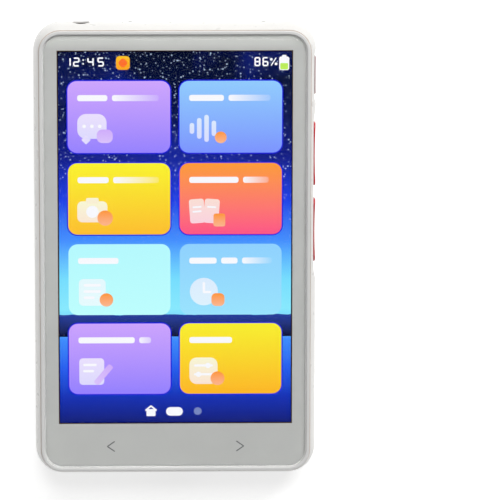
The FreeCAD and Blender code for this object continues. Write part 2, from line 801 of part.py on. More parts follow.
def ring_plate(name, outer, hole, level, thick):
    """A flat frame: each outline is width, length, corner and centre."""
    body = new_body(name)
    width, length, corner, centre = outer
    outline = rounded(body, "outline", width, length, corner, ("0", centre, level))
    pad(body, "plate", outline, thick)
    width, length, corner, centre = hole
    upper = "(%s) + (%s)" % (level, thick)
    window = rounded(body, "window_outline", width, length, corner, ("0", centre, upper))
    pocket(body, "window", window, "(%s) * 2" % thick)
    return body


def border_film():
    inset = "2 * (glass_inset + film_inset)"
    return ring_plate(
        "border_film",
        ("body_width - " + inset, "body_length - " + inset, "glass_corner - film_inset", "0"),
        ("window_width", "window_length", "window_corner", "window_shift"),
        "film_bottom", "film_thick",
    )


def glass_tape():
    inset = "2 * (glass_inset + tape_inset)"
    return ring_plate(
        "glass_tape",
        ("body_width - " + inset, "body_length - " + inset, "glass_corner - tape_inset", "0"),
        ("pocket_width + 0.4", "pocket_length + 0.4", "1", "panel_centre"),
        "ledge_top", "tape_thick",
    )


def slab(name, width, length, corner, at, thick, edge=None):
    """A plate with round corners, and with rounded faces where edge gives a radius."""
    body = new_body(name)
    outline = rounded(body, "outline", width, length, corner, at)
    pad(body, "plate", outline, thick)
    if edge:
        fillet(body, "edges", edge, lambda box: box.ZLength < 0.001)
    return body


def display():
    """The touch layer, the display glass and its lit tray, one on the other."""
    return [
        slab(
            "touch_sensor", "panel_width", "panel_length", "0.8",
            ("0", "panel_centre", "touch_bottom"), "touch_thick",
        ),
        slab(
            "lcd_panel", "panel_width", "panel_length", "window_corner",
            ("0", "panel_centre", "panel_bottom"), "panel_thick",
        ),
        slab(
            "lcd_backlight", "panel_width", "panel_high - light_low", "0.6",
            ("0", "(panel_high + light_low) / 2", "light_bottom"), "light_thick",
        ),
    ]


def key(name, length, centre):
    """A key whose face follows the bulging side, with a flange behind the wall."""
    body = new_body(name)
    low = "belly_height - key_height / 2"
    high = "belly_height + key_height / 2"
    dished = name != "power_key"
    stock = "dish_stock - key_inset" if dished else "-key_inset"
    profile = bulged(
        body, "profile", ("belly_centre + " + stock, "belly_height"), "belly_round",
        low, high, "flange_outer", (19.85, 6.0, 11.2, 4.0, 8.0, 29.43),
        level="-(%s) - (%s) / 2" % (centre, length),
    )
    pad(body, "cap", profile, length)
    fillet(body, "corners", "key_corner", lambda box: box.YLength < 0.001 and box.ZLength < 0.001)
    if dished:
        dish = "half_width - key_inset - key_dish + dish_round"
        rod(body, "dish", "dish_round", "key_height + 2", (dish, centre, low + " - 1"), cut=True)
    document.recompute()
    face = body.Shape.BoundBox.XMax - 1.0
    fillet(body, "face_edge", "key_edge", lambda box: box.XMin > face)
    flange = rounded(
        body, "flange_outline", length + " + 2 * flange_rim", "key_height + 2 * flange_rim",
        "key_corner + flange_rim - key_gap", (centre, "belly_height", "flange_inner"), "YZ_Plane",
    )
    pad(body, "flange", flange, "flange_thick")
    rod(body, "nib", "nib_radius", "nib_length", ("stem_tip", centre, "belly_height"), "x")
    return body


def key_stem(name, centre):
    """The moving pin of a key's switch."""
    body = new_body(name)
    length = "stem_inside + key_travel + 0.1"
    rod(body, "pin", "stem_radius", length, ("stem_tip - (%s)" % length, centre, "belly_height"), "x")
    return body


def key_board():
    """The upright strip that carries the switches, with a tail to the main board."""
    body = new_body("key_board")
    block(
        body, "strip", ("strip_inner", "strip_low", "strip_top - strip_height"),
        ("strip_outer", "strip_high", "strip_top"),
    )
    block(
        body, "tail",
        ("strip_inner - tail_length", "tail_centre - tail_width / 2", "board_top"),
        ("strip_inner + 0.1", "tail_centre + tail_width / 2", "board_top + flex_thick"),
    )
    return body


def key_switches():
    body = new_body("key_switches")
    for name, (length, centre) in keys.items():
        block(
            body, name + "_switch",
            ("strip_outer", centre + " - switch_length / 2", "belly_height - switch_height / 2"),
            ("switch_face", centre + " + switch_length / 2", "belly_height + switch_height / 2"),
        )
    for name, (length, centre) in keys.items():
        rod(
            body, name + "_bore", "stem_radius + stem_gap", "stem_inside + key_travel + 0.1 + 1",
            ("switch_face - stem_inside - key_travel - 0.1", centre, "belly_height"), "x", True,
        )
    return body


def headphone_jack():
    body = new_body("headphone_jack")
    block(
        body, "housing",
        ("jack_x - jack_width / 2", "inner_end - jack_length - fit_gap", "jack_level - jack_height / 2"),
        ("jack_x + jack_width / 2", "inner_end - fit_gap", "jack_level + jack_height / 2"),
    )
    rod(
        body, "bore", "jack_bore", "jack_depth + 1",
        ("jack_x", "inner_end - fit_gap - jack_depth", "jack_level"), "y", True,
    )
    return body


def microphones():
    body = new_body("microphones")
    for index, x in enumerate(("mic_left_x", "mic_right_x")):
        spot = (x, "board_high + 2 * stack_gap", "mic_level")
        rod(body, "capsule_%d" % index, "mic_radius", "mic_thick", spot, "y")
    return body


def microphone_boots():
    """A soft cup round each microphone, with a sound hole against the end wall."""
    body = new_body("microphone_boots")
    spots = list(enumerate(("mic_left_x", "mic_right_x")))
    start = "board_high + 2 * stack_gap"
    below = start + " - 0.5"
    for index, x in spots:
        rod(body, "cup_%d" % index, "mic_radius + boot_wall", "boot_length", (x, start, "mic_level"), "y")
    for index, x in spots:
        hollow = (x, below, "mic_level")
        rod(body, "hollow_%d" % index, "mic_radius", "mic_thick + 0.5", hollow, "y", True)
        rod(body, "sound_hole_%d" % index, "mic_hole", "boot_length + 1", hollow, "y", True)
    return body


def usb_socket():
    shell = new_body("usb_c_shell")
    mouth = "half_length - usb_inset"
    outline = rounded(
        shell, "outline", "usb_width", "usb_height", "usb_height * 0.49",
        ("0", "usb_level", mouth + " - usb_length"), "XZ_Plane",
    )
    pad(shell, "tube", outline, "usb_length")
    inside = rounded(
        shell, "inside_outline", "usb_width - 2 * usb_wall", "usb_height - 2 * usb_wall",
        "(usb_height - 2 * usb_wall) * 0.49", ("0", "usb_level", mouth), "XZ_Plane",
    )
    pocket(shell, "inside", inside, "usb_length - usb_wall")
    insert = new_body("usb_c_insert")
    back = "-(%s) + usb_length - usb_wall" % mouth
    block(
        insert, "base", ("1.8 - usb_width / 2", back + " - 1", "usb_level - usb_height / 2 + usb_wall"),
        ("usb_width / 2 - 1.8", back, "usb_level + usb_height / 2 - usb_wall"),
    )
    block(
        insert, "tongue",
        ("-tongue_width / 2", back + " - 1 - tongue_length", "usb_level - tongue_thick / 2"),
        ("tongue_width / 2", back + " - 0.9", "usb_level + tongue_thick / 2"),
    )
    return [shell, insert]


def main_board():
    body = new_body("main_board")
    middle = ("0", "(board_low + board_high) / 2", "board_level")
    outline = rounded(body, "outline", "board_width", "board_length", "board_corner", middle)
    pad(body, "board", outline, "board_thick")
    block(
        body, "jack_corner",
        ("-board_width", "inner_end - jack_length - fit_gap - 0.3", "board_level - 1"),
        ("jack_x + jack_width / 2 + 0.3", "half_length", "board_top + 1"), cut=True,
    )
    for index, (x, y, top) in enumerate(board_screw_spots[:4]):
        spot = (x, y, "board_level - 1")
        rod(body, "hole_%d" % index, "small_screw + 0.15", "board_thick + 2", spot, cut=True)
    return body


def usb_board():
    body = new_body("usb_board")
    outline = rounded(
        body, "outline", "usb_board_left + usb_board_right", "usb_board_length", "board_corner",
        (
            "(usb_board_right - usb_board_left) / 2", "(usb_board_low + usb_board_high) / 2",
            "usb_board_top - board_thick",
        ),
    )
    pad(body, "board", outline, "board_thick")
    for index, (x, y, top) in enumerate(board_screw_spots[4:]):
        rod(
            body, "hole_%d" % index, "small_screw + 0.15", "board_thick + 2",
            (x, y, "usb_board_top - board_thick - 1"), cut=True,
        )
    return body


def shield(name, centre, width, length, height):
    """A thin metal can, open below, over the chips."""
    body = new_body(name)
    x, y = centre
    outline = rounded(body, "outline", width, length, "0.6", (x, y, "board_top"))
    pad(body, "can", outline, height)
    hollow = rounded(
        body, "hollow_outline", width + " - 2 * can_wall", length + " - 2 * can_wall", "0.4",
        (x, y, "board_top"),
    )
    pocket(body, "hollow", hollow, height + " - can_wall", outward=True)
    return body


def shields():
    return [
        shield("processor_shield", ("can_x", "can_y"), "can_width", "can_length", "can_height"),
        shield("radio_shield", ("0", "radio_y"), "radio_width", "radio_length", "can_height"),
    ]


def board_chips():
    """The processor and memory under one can, and the radio under the other."""
    body = new_body("board_chips")
    chips = [
        ("processor", "can_x - can_width / 2 + can_margin + processor_side / 2", "can_y",
         "processor_side", "processor_side"),
        ("memory", "can_x + can_width / 2 - can_margin - memory_width / 2", "can_y",
         "memory_width", "memory_length"),
        ("radio", "0", "radio_y", "radio_side", "radio_side"),
    ]
    for name, x, y, width, length in chips:
        block(
            body, name,
            ("%s - %s / 2" % (x, width), "%s - %s / 2" % (y, length), "board_top"),
            ("%s + %s / 2" % (x, width), "%s + %s / 2" % (y, length), "board_top + chip_high"),
        )
    return body


def flex_connectors():
    """The low blocks in which the flat leads end."""
    body = new_body("flex_connectors")
    spots = [
        ("display", "-lcd_flex_side", "board_low + 7", "lcd_flex_width"),
        ("ribbon", "-ribbon_side", "board_low + 6", "ribbon_width"),
        ("battery", "lead_side", "board_low + 4", "lead_width"),
    ]
    for name, x, y, width in spots:
        block(
            body, name + "_connector",
            ("%s - (%s) / 2" % (x, width), y, "board_top"),
            ("%s + (%s) / 2" % (x, width), y + " + 3", "board_top + connector_high"),
        )
    tail_end = "strip_inner - tail_length"
    block(
        body, "keys_connector", (tail_end + " - 3", "tail_centre - tail_width / 2", "board_top"),
        (tail_end, "tail_centre + tail_width / 2", "board_top + connector_high"),
    )
    return body


def flat_lead(name, side, width, thick, path, guess):
    """A flat lead of even height: its path is (y, z) pairs, and it rises by its thickness."""
    body = new_body(name)
    upper = [(y, "(%s) + (%s)" % (z, thick)) for y, z in reversed(path)]
    upper_guess = [(y, z + 0.15) for y, z in reversed(guess)]
    outline = polygon(
        body, "outline", path + upper, guess + upper_guess, "YZ_Plane", "(%s) - (%s) / 2" % (side, width),
    )
    pad(body, "strip", outline, width)
    return body


def lcd_flex():
    """The display's flex: down behind the lit tray, through the frame and over the battery."""
    body = new_body("lcd_flex")
    drop = "light_low - 1.2"
    points = [
        ("panel_low + 0.4", "panel_bottom - flex_thick"),
        (drop, "panel_bottom - flex_thick"),
        (drop, "lcd_flex_level"),
        ("board_low + 1", "lcd_flex_level"),
        ("board_low + 3", "board_top"),
        ("board_low + 7", "board_top"),
        ("board_low + 7", "board_top + flex_thick"),
        ("board_low + 3", "board_top + flex_thick"),
        ("board_low + 1", "lcd_flex_level + flex_thick"),
        (drop + " + flex_thick", "lcd_flex_level + flex_thick"),
        (drop + " + flex_thick", "panel_bottom"),
        ("panel_low + 0.4", "panel_bottom"),
    ]
    guess = [
        (-43.2, 9.45), (-40.7, 9.45), (-40.7, 7.05), (4.0, 7.05), (6.0, 5.6), (10.0, 5.6),
        (10.0, 5.75), (6.0, 5.75), (4.0, 7.2), (-40.55, 7.2), (-40.55, 9.6), (-43.2, 9.6),
    ]
    outline = polygon(
        body, "outline", points, guess, "YZ_Plane", "-lcd_flex_side - lcd_flex_width / 2",
    )
    pad(body, "strip", outline, "lcd_flex_width")
    return body


def leads():
    ribbon = flat_lead(
        "board_ribbon", "-ribbon_side", "ribbon_width", "flex_thick",
        [
            ("usb_board_high - 3.5", "usb_board_top"),
            ("usb_board_high - 0.5", "usb_board_top"),
            ("battery_low - 0.5", "ribbon_level"),
            ("battery_high + 0.3", "ribbon_level"),
            ("board_low + 1.5", "board_top"),
            ("board_low + 6", "board_top"),
        ],
        [(-40.0, 3.77), (-37.0, 3.77), (-33.5, 6.6), (1.3, 6.6), (4.5, 5.6), (9.0, 5.6)],
    )
    lead = new_body("battery_lead")
    rise = "battery_high + 1.1"
    points = [
        ("battery_high", "board_level - 0.9"),
        (rise + " + lead_thick", "board_level - 0.9"),
        (rise + " + lead_thick", "board_top"),
        ("board_low + 4", "board_top"),
        ("board_low + 4", "board_top + lead_thick"),
        (rise, "board_top + lead_thick"),
        (rise, "board_level - 0.9 + lead_thick"),
        ("battery_high", "board_level - 0.9 + lead_thick"),
    ]
    guess = [
        (1.0, 3.7), (2.6, 3.7), (2.6, 5.6), (7.0, 5.6), (7.0, 6.1), (2.1, 6.1), (2.1, 4.2), (1.0, 4.2),
    ]
    outline = polygon(lead, "outline", points, guess, "YZ_Plane", "lead_side - lead_width / 2")
    pad(lead, "strip", outline, "lead_width")
    return [ribbon, lead]


def battery():
    centre = "(battery_low + battery_high) / 2"
    return [
        slab(
            "battery", "battery_width", "battery_length", "battery_corner",
            ("battery_x", centre, "battery_bottom"), "battery_thick", "battery_round",
        ),
        slab(
            "battery_tape", "battery_width - 2 * battery_tape_inset",
            "battery_length - 2 * battery_tape_inset", "board_corner",
            ("battery_x", centre, "case_floor"), "tape_thick",
        ),
    ]


def speaker():
    at = ("speaker_x", "speaker_centre")
    return [
        slab(
            "speaker", "speaker_width", "speaker_length", "speaker_corner",
            (*at, "case_floor + tape_thick"), "speaker_thick",
        ),
        slab(
            "speaker_mesh", "slot_length + 2 * mesh_margin", "speaker_length - mesh_margin",
            "speaker_corner - mesh_margin / 2", (*at, "case_floor"), "tape_thick",
        ),
    ]


def camera():
    """The camera under the main board, its window in a ring, and the lamp beside it."""
    x, y = "camera_x", "camera_y"
    module = new_body("camera_module")
    half = "camera_width / 2"
    block(
        module, "base", (x + " - " + half, y + " - " + half, "board_level - camera_base"),
        (x + " + " + half, y + " + " + half, "board_level"),
    )
    rod(
        module, "barrel", "camera_barrel", "board_level - camera_base - case_floor",
        (x, y, "case_floor + 0.1"),
    )
    ring = new_body("camera_ring")
    rod(ring, "ring", "ring_radius", "ring_high", (x, y, "ring_inset"))
    seat = (x, y, "ring_inset - 0.5")
    rod(ring, "pane_seat", "pane_radius + ring_gap", "pane_thick + 0.5", seat, cut=True)
    rod(ring, "hole", "camera_hole", "ring_high + 1", (x, y, "0"), cut=True)
    fillet(ring, "edge", "0.15", lambda box: box.ZMax < sizes["ring_inset"] + 0.001 and box.XLength > 9.0)
    pane = new_body("camera_window")
    rod(pane, "pane", "pane_radius", "pane_thick - 0.1", (x, y, "ring_inset + 0.1"))
    lamp = new_body("flash_led")
    block(
        lamp, "chip", ("flash_x - led_width / 2", y + " - led_width / 2", "board_level - led_high"),
        ("flash_x + led_width / 2", y + " + led_width / 2", "board_level"),
    )
    guide = new_body("flash_window")
    rod(guide, "face", "flash_radius", "case_floor - ring_inset", ("flash_x", y, "ring_inset"))
    reach = "board_level - led_high - 0.1 - case_floor"
    rod(guide, "guide", "flash_stem", reach, ("flash_x", y, "case_floor"))
    return [module, ring, pane, lamp, guide]


def screw(body, name, at, radii, head_high, length, up=True):
    """A pan head with a cross recess below, and a plain shank above it."""
    x, y, z = at
    shank, head = radii
    rod(body, name + "_head", head, head_high, (x, y, z))
    rod(body, name + "_shank", shank, length, (x, y, "(%s) + (%s)" % (z, head_high)))
    for tag, wide, tall in (("a", "recess_span", "recess_width"), ("b", "recess_width", "recess_span")):
        block(
            body, name + "_recess_" + tag,
            ("%s - %s / 2" % (x, wide), "%s - %s / 2" % (y, tall), "(%s) - 0.5" % z),
            ("%s + %s / 2" % (x, wide), "%s + %s / 2" % (y, tall), "(%s) + recess_deep * 0.8" % z),
            cut=True,
        )


def screws():
    large = new_body("case_screws")
    for index, (side, end) in enumerate(post_signs):
        at = ("%d * post_x" % side, "%d * post_y" % end, "head_gap")
        screw(large, "screw_%d" % index, at, ("screw_radius", "head_radius"), "head_high", "screw_length")
    small = new_body("board_screws")
    for index, (x, y, top) in enumerate(board_screw_spots):
        at = (x, y, "(%s) - board_thick - small_head_high" % top)
        screw(
            small, "screw_%d" % index, at, ("small_screw", "small_head"), "small_head_high",
            "board_thick + small_reach",
        )
    return [large, small]


def wifi_antenna():
    """A foil aerial on the inside of the left wall."""
    body = new_body("wifi_antenna")
    middle = "half_length / 2 + 1"
    block(
        body, "foil",
        ("case_wall - half_width", middle + " - antenna_length / 2", "antenna_level"),
        (
            "case_wall - half_width + flex_thick", middle + " + antenna_length / 2",
            "antenna_level + antenna_height",
        ),
    )
    return body


def gather(items):
    """One flat list of sub-parts."""
    flat = []
    for item in items:
        flat.extend(item if isinstance(item, list) else [item])
    return flat


stem_names = {
    "power_key": "power_stem",
    "talk_key_upper": "talk_upper_stem",
    "talk_key_lower": "talk_lower_stem",
}

parts = gather([
    rear_case(), front_frame(), seam_seal(), cover_glass(), border_film(), glass_tape(), display(),
    lcd_flex(),
    [key(name, length, centre) for name, (length, centre) in keys.items()],
    [key_stem(stem_names[name], centre) for name, (length, centre) in keys.items()],
    key_board(), key_switches(), headphone_jack(), microphones(), microphone_boots(), usb_socket(),
    main_board(), usb_board(), shields(), board_chips(), flex_connectors(), leads(), battery(), speaker(),
    camera(), screws(), wifi_antenna(),
])
document.recompute()

faults = []
for item in document.Objects:
    if "Invalid" in item.State or "Error" in item.State:
        faults.append("%s %s" % (item.Label, item.State))
for part in parts:
    if part.Shape.isNull() or not part.Shape.isValid():
        faults.append(part.Label + " has no valid shape")
if faults:
    raise RuntimeError("; ".join(faults))

os.makedirs("parts", exist_ok=True)
for part in parts:
    part.Shape.exportStep(os.path.join("parts", part.Label + ".step"))
    box = part.Shape.BoundBox
    print("%-18s solids %d volume %10.3f  z %.2f to %.2f" % (
        part.Label, len(part.Shape.Solids), part.Shape.Volume, box.ZMin, box.ZMax,
    ))
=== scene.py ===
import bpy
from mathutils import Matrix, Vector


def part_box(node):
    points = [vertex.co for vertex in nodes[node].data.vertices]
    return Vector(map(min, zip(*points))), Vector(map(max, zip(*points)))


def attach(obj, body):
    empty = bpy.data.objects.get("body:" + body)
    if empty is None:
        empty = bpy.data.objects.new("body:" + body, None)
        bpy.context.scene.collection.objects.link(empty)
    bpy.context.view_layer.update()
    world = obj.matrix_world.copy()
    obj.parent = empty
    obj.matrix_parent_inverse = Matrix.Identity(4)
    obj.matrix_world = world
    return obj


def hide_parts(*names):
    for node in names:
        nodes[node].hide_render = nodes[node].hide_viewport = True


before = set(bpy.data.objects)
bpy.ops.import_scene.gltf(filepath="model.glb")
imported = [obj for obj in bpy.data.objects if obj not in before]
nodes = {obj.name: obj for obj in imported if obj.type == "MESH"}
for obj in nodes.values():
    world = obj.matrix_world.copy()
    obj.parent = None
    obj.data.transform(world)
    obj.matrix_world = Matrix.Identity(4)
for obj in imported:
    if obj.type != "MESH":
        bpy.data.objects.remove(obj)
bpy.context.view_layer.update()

import math

import bmesh
import bpy
from mathutils import Matrix, Vector

# A white pocket translator on a pale table, seen from above its socket end.
# The object's sizes are written in millimetres, and mm turns them into metres.
# The table, the lamps and the textures' scales are in metres.

mm = 0.001


# A colour as it shows on a screen, each part from 0 to 255.
def tone(red, green, blue):
    linear = []
    for value in (red, green, blue):
        share = value / 255
        linear.append(share / 12.92 if share <= 0.04045 else ((share + 0.055) / 1.055) ** 2.4)
    return (*linear, 1.0)


# Gives a socket a fixed value, or another node's output.
def feed(tree, socket, value):
    if isinstance(value, (int, float, tuple)):
        socket.default_value = value
    else:
        tree.links.new(value, socket)


def newGroup(name, inputs, outputs):
    group = bpy.data.node_groups.new(name, "ShaderNodeTree")
    for label, kind, value in inputs:
        socket = group.interface.new_socket(label, in_out="INPUT", socket_type="NodeSocket" + kind)
        socket.default_value = value
    for label, kind in outputs:
        group.interface.new_socket(label, in_out="OUTPUT", socket_type="NodeSocket" + kind)
    return group, group.nodes.new("NodeGroupInput").outputs, group.nodes.new("NodeGroupOutput").inputs


# The point on the object, whole and as its X, Y and Z.
def addPlace(group):
    place = group.nodes.new("ShaderNodeTexCoord").outputs["Object"]
    split = group.nodes.new("ShaderNodeSeparateXYZ")
    group.links.new(place, split.inputs["Vector"])
    return place, split.outputs


def addNoise(group, place, scale, detail):
    noise = group.nodes.new("ShaderNodeTexNoise")
    noise.inputs["Detail"].default_value = detail
    feed(group, noise.inputs["Scale"], scale)
    group.links.new(place, noise.inputs["Vector"])
    return noise.outputs["Fac"]


def addRange(group, value, low, high, fromLow=0.3, fromHigh=0.7):
    change = group.nodes.new("ShaderNodeMapRange")
    change.inputs["From Min"].default_value = fromLow
    change.inputs["From Max"].default_value = fromHigh
    feed(group, change.inputs["To Min"], low)
    feed(group, change.inputs["To Max"], high)
    group.links.new(value, change.inputs["Value"])
    return change.outputs["Result"]


def addMix(group, share, first, second):
    mix = group.nodes.new("ShaderNodeMix")
    mix.data_type = "RGBA"
    group.links.new(share, mix.inputs["Factor"])
    feed(group, mix.inputs[6], first)  # 6 and 7 are the two colours, and output 2 their mix
    feed(group, mix.inputs[7], second)
    return mix.outputs[2]


def addMath(group, operation, first, second):
    step = group.nodes.new("ShaderNodeMath")
    step.operation = operation
    feed(group, step.inputs[0], first)
    feed(group, step.inputs[1], second)
    return step.outputs[0]


# Shared effects: fine grain, a slow drift of tone, and polish that varies a little.
mould = {"driftScale": 55.0, "driftDetail": 3.0, "rubScale": 420.0, "rubDetail": 5.0, "grainDetail": 2.0}


def mouldedFinish():
    group, given, result = newGroup(
        "moulded finish",
        [("Color", "Color", (0.8, 0.8, 0.8, 1)), ("Second Color", "Color", (0.7, 0.7, 0.7, 1)),
         ("Grain", "Float", 6000.0), ("Low Roughness", "Float", 0.3), ("High Roughness", "Float", 0.4)],
        [("Color", "Color"), ("Roughness", "Float"), ("Height", "Float")],
    )
    place = group.nodes.new("ShaderNodeTexCoord").outputs["Object"]
    drift = addNoise(group, place, mould["driftScale"], mould["driftDetail"])
    rub = addNoise(group, place, mould["rubScale"], mould["rubDetail"])
    grain = addNoise(group, place, given["Grain"], mould["grainDetail"])
    share = addRange(group, drift, 0.0, 1.0)
    feed(group, result["Color"], addMix(group, share, given["Color"], given["Second Color"]))
    feed(group, result["Roughness"], addRange(group, rub, given["Low Roughness"], given["High Roughness"]))
    feed(group, result["Height"], grain)
    return group


# Crossed wires, with a dark hole between each four.
weave = {"holeStart": 0.9, "holeFull": 0.5, "holeTone": (0.001, 0.001, 0.001, 1)}


def wovenCloth():
    group, given, result = newGroup(
        "woven cloth",
        [("Color", "Color", (0.02, 0.02, 0.02, 1)), ("Wires", "Float", 5000.0)],
        [("Color", "Color"), ("Height", "Float")],
    )
    split = addPlace(group)[1]
    waves = []
    for axis in ("X", "Y"):
        turn = addMath(group, "MULTIPLY", split[axis], given["Wires"])
        waves.append(addMath(group, "ABSOLUTE", addMath(group, "SINE", turn, 0.0), 0.0))
    height = addMath(group, "MAXIMUM", waves[0], waves[1])
    share = addRange(group, height, 1.0, 0.0, weave["holeFull"], weave["holeStart"])
    feed(group, result["Color"], addMix(group, share, given["Color"], weave["holeTone"]))
    feed(group, result["Height"], height)
    return group


# The print behind the glass, with a painted highlight: it grows lighter towards the socket end, from one Y
# to another, standing in for the light that the glass's curved edge catches there.
grey = {
    "first": tone(150, 151, 149),
    "second": tone(146, 147, 145),
    "highlightTone": tone(166, 167, 164),
    "highlightFrom": 45.2,
    "highlightTo": 47.6,
    "roughness": (0.4, 0.5),
    "grain": 3000.0,
    "bump": 0.02,
}


# Lays the painted highlight over the print's own colour.
def paintedPrintHighlight():
    group, given, result = newGroup(
        "painted print highlight",
        [("Color", "Color", (0.3, 0.3, 0.3, 1)), ("Highlight Color", "Color", (0.4, 0.4, 0.4, 1))],
        [("Color", "Color")],
    )
    split = addPlace(group)[1]
    share = addRange(group, split["Y"], 0.0, 1.0, grey["highlightFrom"] * mm, grey["highlightTo"] * mm)
    feed(group, result["Color"], addMix(group, share, given["Color"], given["Highlight Color"]))
    return group


moulded = mouldedFinish()
woven = wovenCloth()
shaded = paintedPrintHighlight()


def plainMaterial(name):
    material = bpy.data.materials.new(name)
    material.use_nodes = True
    return material, material.node_tree, material.node_tree.nodes["Principled BSDF"]


def addGroup(tree, group):
    holder = tree.nodes.new("ShaderNodeGroup")
    holder.node_tree = group
    return holder


def addBump(tree, height, shader, strength, depth):
    bump = tree.nodes.new("ShaderNodeBump")
    bump.inputs["Strength"].default_value = strength
    bump.inputs["Distance"].default_value = depth
    tree.links.new(height, bump.inputs["Height"])
    tree.links.new(bump.outputs["Normal"], shader.inputs["Normal"])


solid = {"grainDepth": 0.00004, "coatRoughness": 0.08}


# A solid finish: two near tones, and its lowest and highest roughness.
def surface(name, colour, second, rough, grain=6000.0, bump=0.1, metal=0.0, coat=0.0):
    material, tree, shader = plainMaterial(name)
    finish = addGroup(tree, moulded)
    finish.inputs["Color"].default_value = colour
    finish.inputs["Second Color"].default_value = second
    finish.inputs["Grain"].default_value = grain
    finish.inputs["Low Roughness"].default_value, finish.inputs["High Roughness"].default_value = rough
    tree.links.new(finish.outputs["Color"], shader.inputs["Base Color"])
    tree.links.new(finish.outputs["Roughness"], shader.inputs["Roughness"])
    addBump(tree, finish.outputs["Height"], shader, bump, solid["grainDepth"])
    shader.inputs["Metallic"].default_value = metal
    shader.inputs["Coat Weight"].default_value = coat
    shader.inputs["Coat Roughness"].default_value = solid["coatRoughness"]
    return material


clear = {"roughness": 0.05, "ior": 1.16}  # a low ior keeps the lamps' haze off the picture


# Clear glass that lets the lamps through to what lies behind it.
def glass(name, colour):
    material, tree, shader = plainMaterial(name)
    shader.inputs["Base Color"].default_value = colour
    shader.inputs["Roughness"].default_value = clear["roughness"]
    shader.inputs["IOR"].default_value = clear["ior"]
    shader.inputs["Transmission Weight"].default_value = 1.0
    through = tree.nodes.new("ShaderNodeBsdfTransparent")
    through.inputs["Color"].default_value = colour
    path = tree.nodes.new("ShaderNodeLightPath")
    mix = tree.nodes.new("ShaderNodeMixShader")
    tree.links.new(path.outputs["Is Shadow Ray"], mix.inputs["Fac"])
    tree.links.new(shader.outputs["BSDF"], mix.inputs[1])
    tree.links.new(through.outputs["BSDF"], mix.inputs[2])
    tree.links.new(mix.outputs["Shader"], tree.nodes["Material Output"].inputs["Surface"])
    return material


speakerCloth = {
    "colour": tone(46, 46, 48),
    "wires": 9000.0,
    "bump": 0.6,
    "depth": 0.0001,
    "roughness": 0.55,
}


def clothMaterial():
    material, tree, shader = plainMaterial("speaker cloth")
    cloth = addGroup(tree, woven)
    cloth.inputs["Color"].default_value = speakerCloth["colour"]
    cloth.inputs["Wires"].default_value = speakerCloth["wires"]
    tree.links.new(cloth.outputs["Color"], shader.inputs["Base Color"])
    addBump(tree, cloth.outputs["Height"], shader, speakerCloth["bump"], speakerCloth["depth"])
    shader.inputs["Roughness"].default_value = speakerCloth["roughness"]
    return material


# The grey print, with the painted highlight near the socket end laid over its own grey.
def printMaterial():
    material = surface(
        "grey print", grey["first"], grey["second"], grey["roughness"], grey["grain"], grey["bump"])
    tree = material.node_tree
    toShader = tree.nodes["Principled BSDF"].inputs["Base Color"]
    printed = toShader.links[0].from_socket
    shade = addGroup(tree, shaded)
    shade.inputs["Highlight Color"].default_value = grey["highlightTone"]
    tree.links.new(printed, shade.inputs["Color"])
    tree.links.new(shade.outputs["Color"], toShader)
    return material


finishes = {
    "whiteShell": surface(
        "white shell", tone(238, 237, 234), tone(235, 234, 231), (0.26, 0.36), 9000.0, 0.012, coat=0.25),
    "whiteFrame": surface(
        "white frame", tone(230, 230, 229), tone(227, 227, 226), (0.46, 0.56), 9000.0, 0.012),
    "seamBead": surface("seam bead", tone(214, 200, 191), tone(205, 191, 182), (0.5, 0.6)),
    "greyPrint": printMaterial(),
    "darkRed": surface("dark red key", tone(122, 34, 44), tone(112, 28, 38), (0.3, 0.4), coat=0.4),
    "red": surface("red key", tone(206, 30, 46), tone(192, 24, 40), (0.28, 0.38), coat=0.5),
    "blackPlastic": surface("black plastic", tone(30, 30, 32), tone(24, 24, 26), (0.35, 0.5)),
    "greyPlastic": surface("grey plastic", tone(96, 92, 88), tone(88, 84, 80), (0.4, 0.5)),
    "rubber": surface("soft rubber", tone(40, 40, 42), tone(34, 34, 36), (0.7, 0.85), bump=0.3),
    "tape": surface("tape", tone(196, 196, 194), tone(188, 188, 186), (0.6, 0.7)),
    "steel": surface(
        "bright steel", tone(205, 206, 208), tone(190, 191, 194), (0.2, 0.34), 12000.0, metal=1.0),
    "ringMetal": surface(
        "ring metal", tone(168, 170, 175), tone(150, 152, 158), (0.22, 0.32), 12000.0, metal=1.0),
    "board": surface("circuit board", tone(20, 74, 52), tone(16, 60, 44), (0.35, 0.5), 2500.0, 0.3),
    "chip": surface("chip", tone(34, 34, 36), tone(28, 28, 30), (0.45, 0.6)),
    "film": surface("flex film", tone(170, 104, 40), tone(150, 90, 34), (0.3, 0.4)),
    "foil": surface("battery foil", tone(60, 62, 66), tone(50, 52, 56), (0.35, 0.5), 3000.0, 0.3),
    "lamp": surface("lamp plastic", tone(238, 228, 170), tone(232, 220, 150), (0.15, 0.25), coat=0.6),
    "screenBlack": surface("dark screen", tone(9, 9, 12), tone(6, 6, 9), (0.12, 0.18), bump=0.0),
    "lensCoat": surface(
        "coated lens", tone(26, 24, 52), tone(16, 30, 44), (0.04, 0.07), bump=0.0, coat=1.0),
    "glass": glass("front glass", (0.985, 0.99, 0.99, 1)),
    "lens": glass("lens glass", (0.8, 0.84, 0.88, 1)),
    "cloth": clothMaterial(),
}

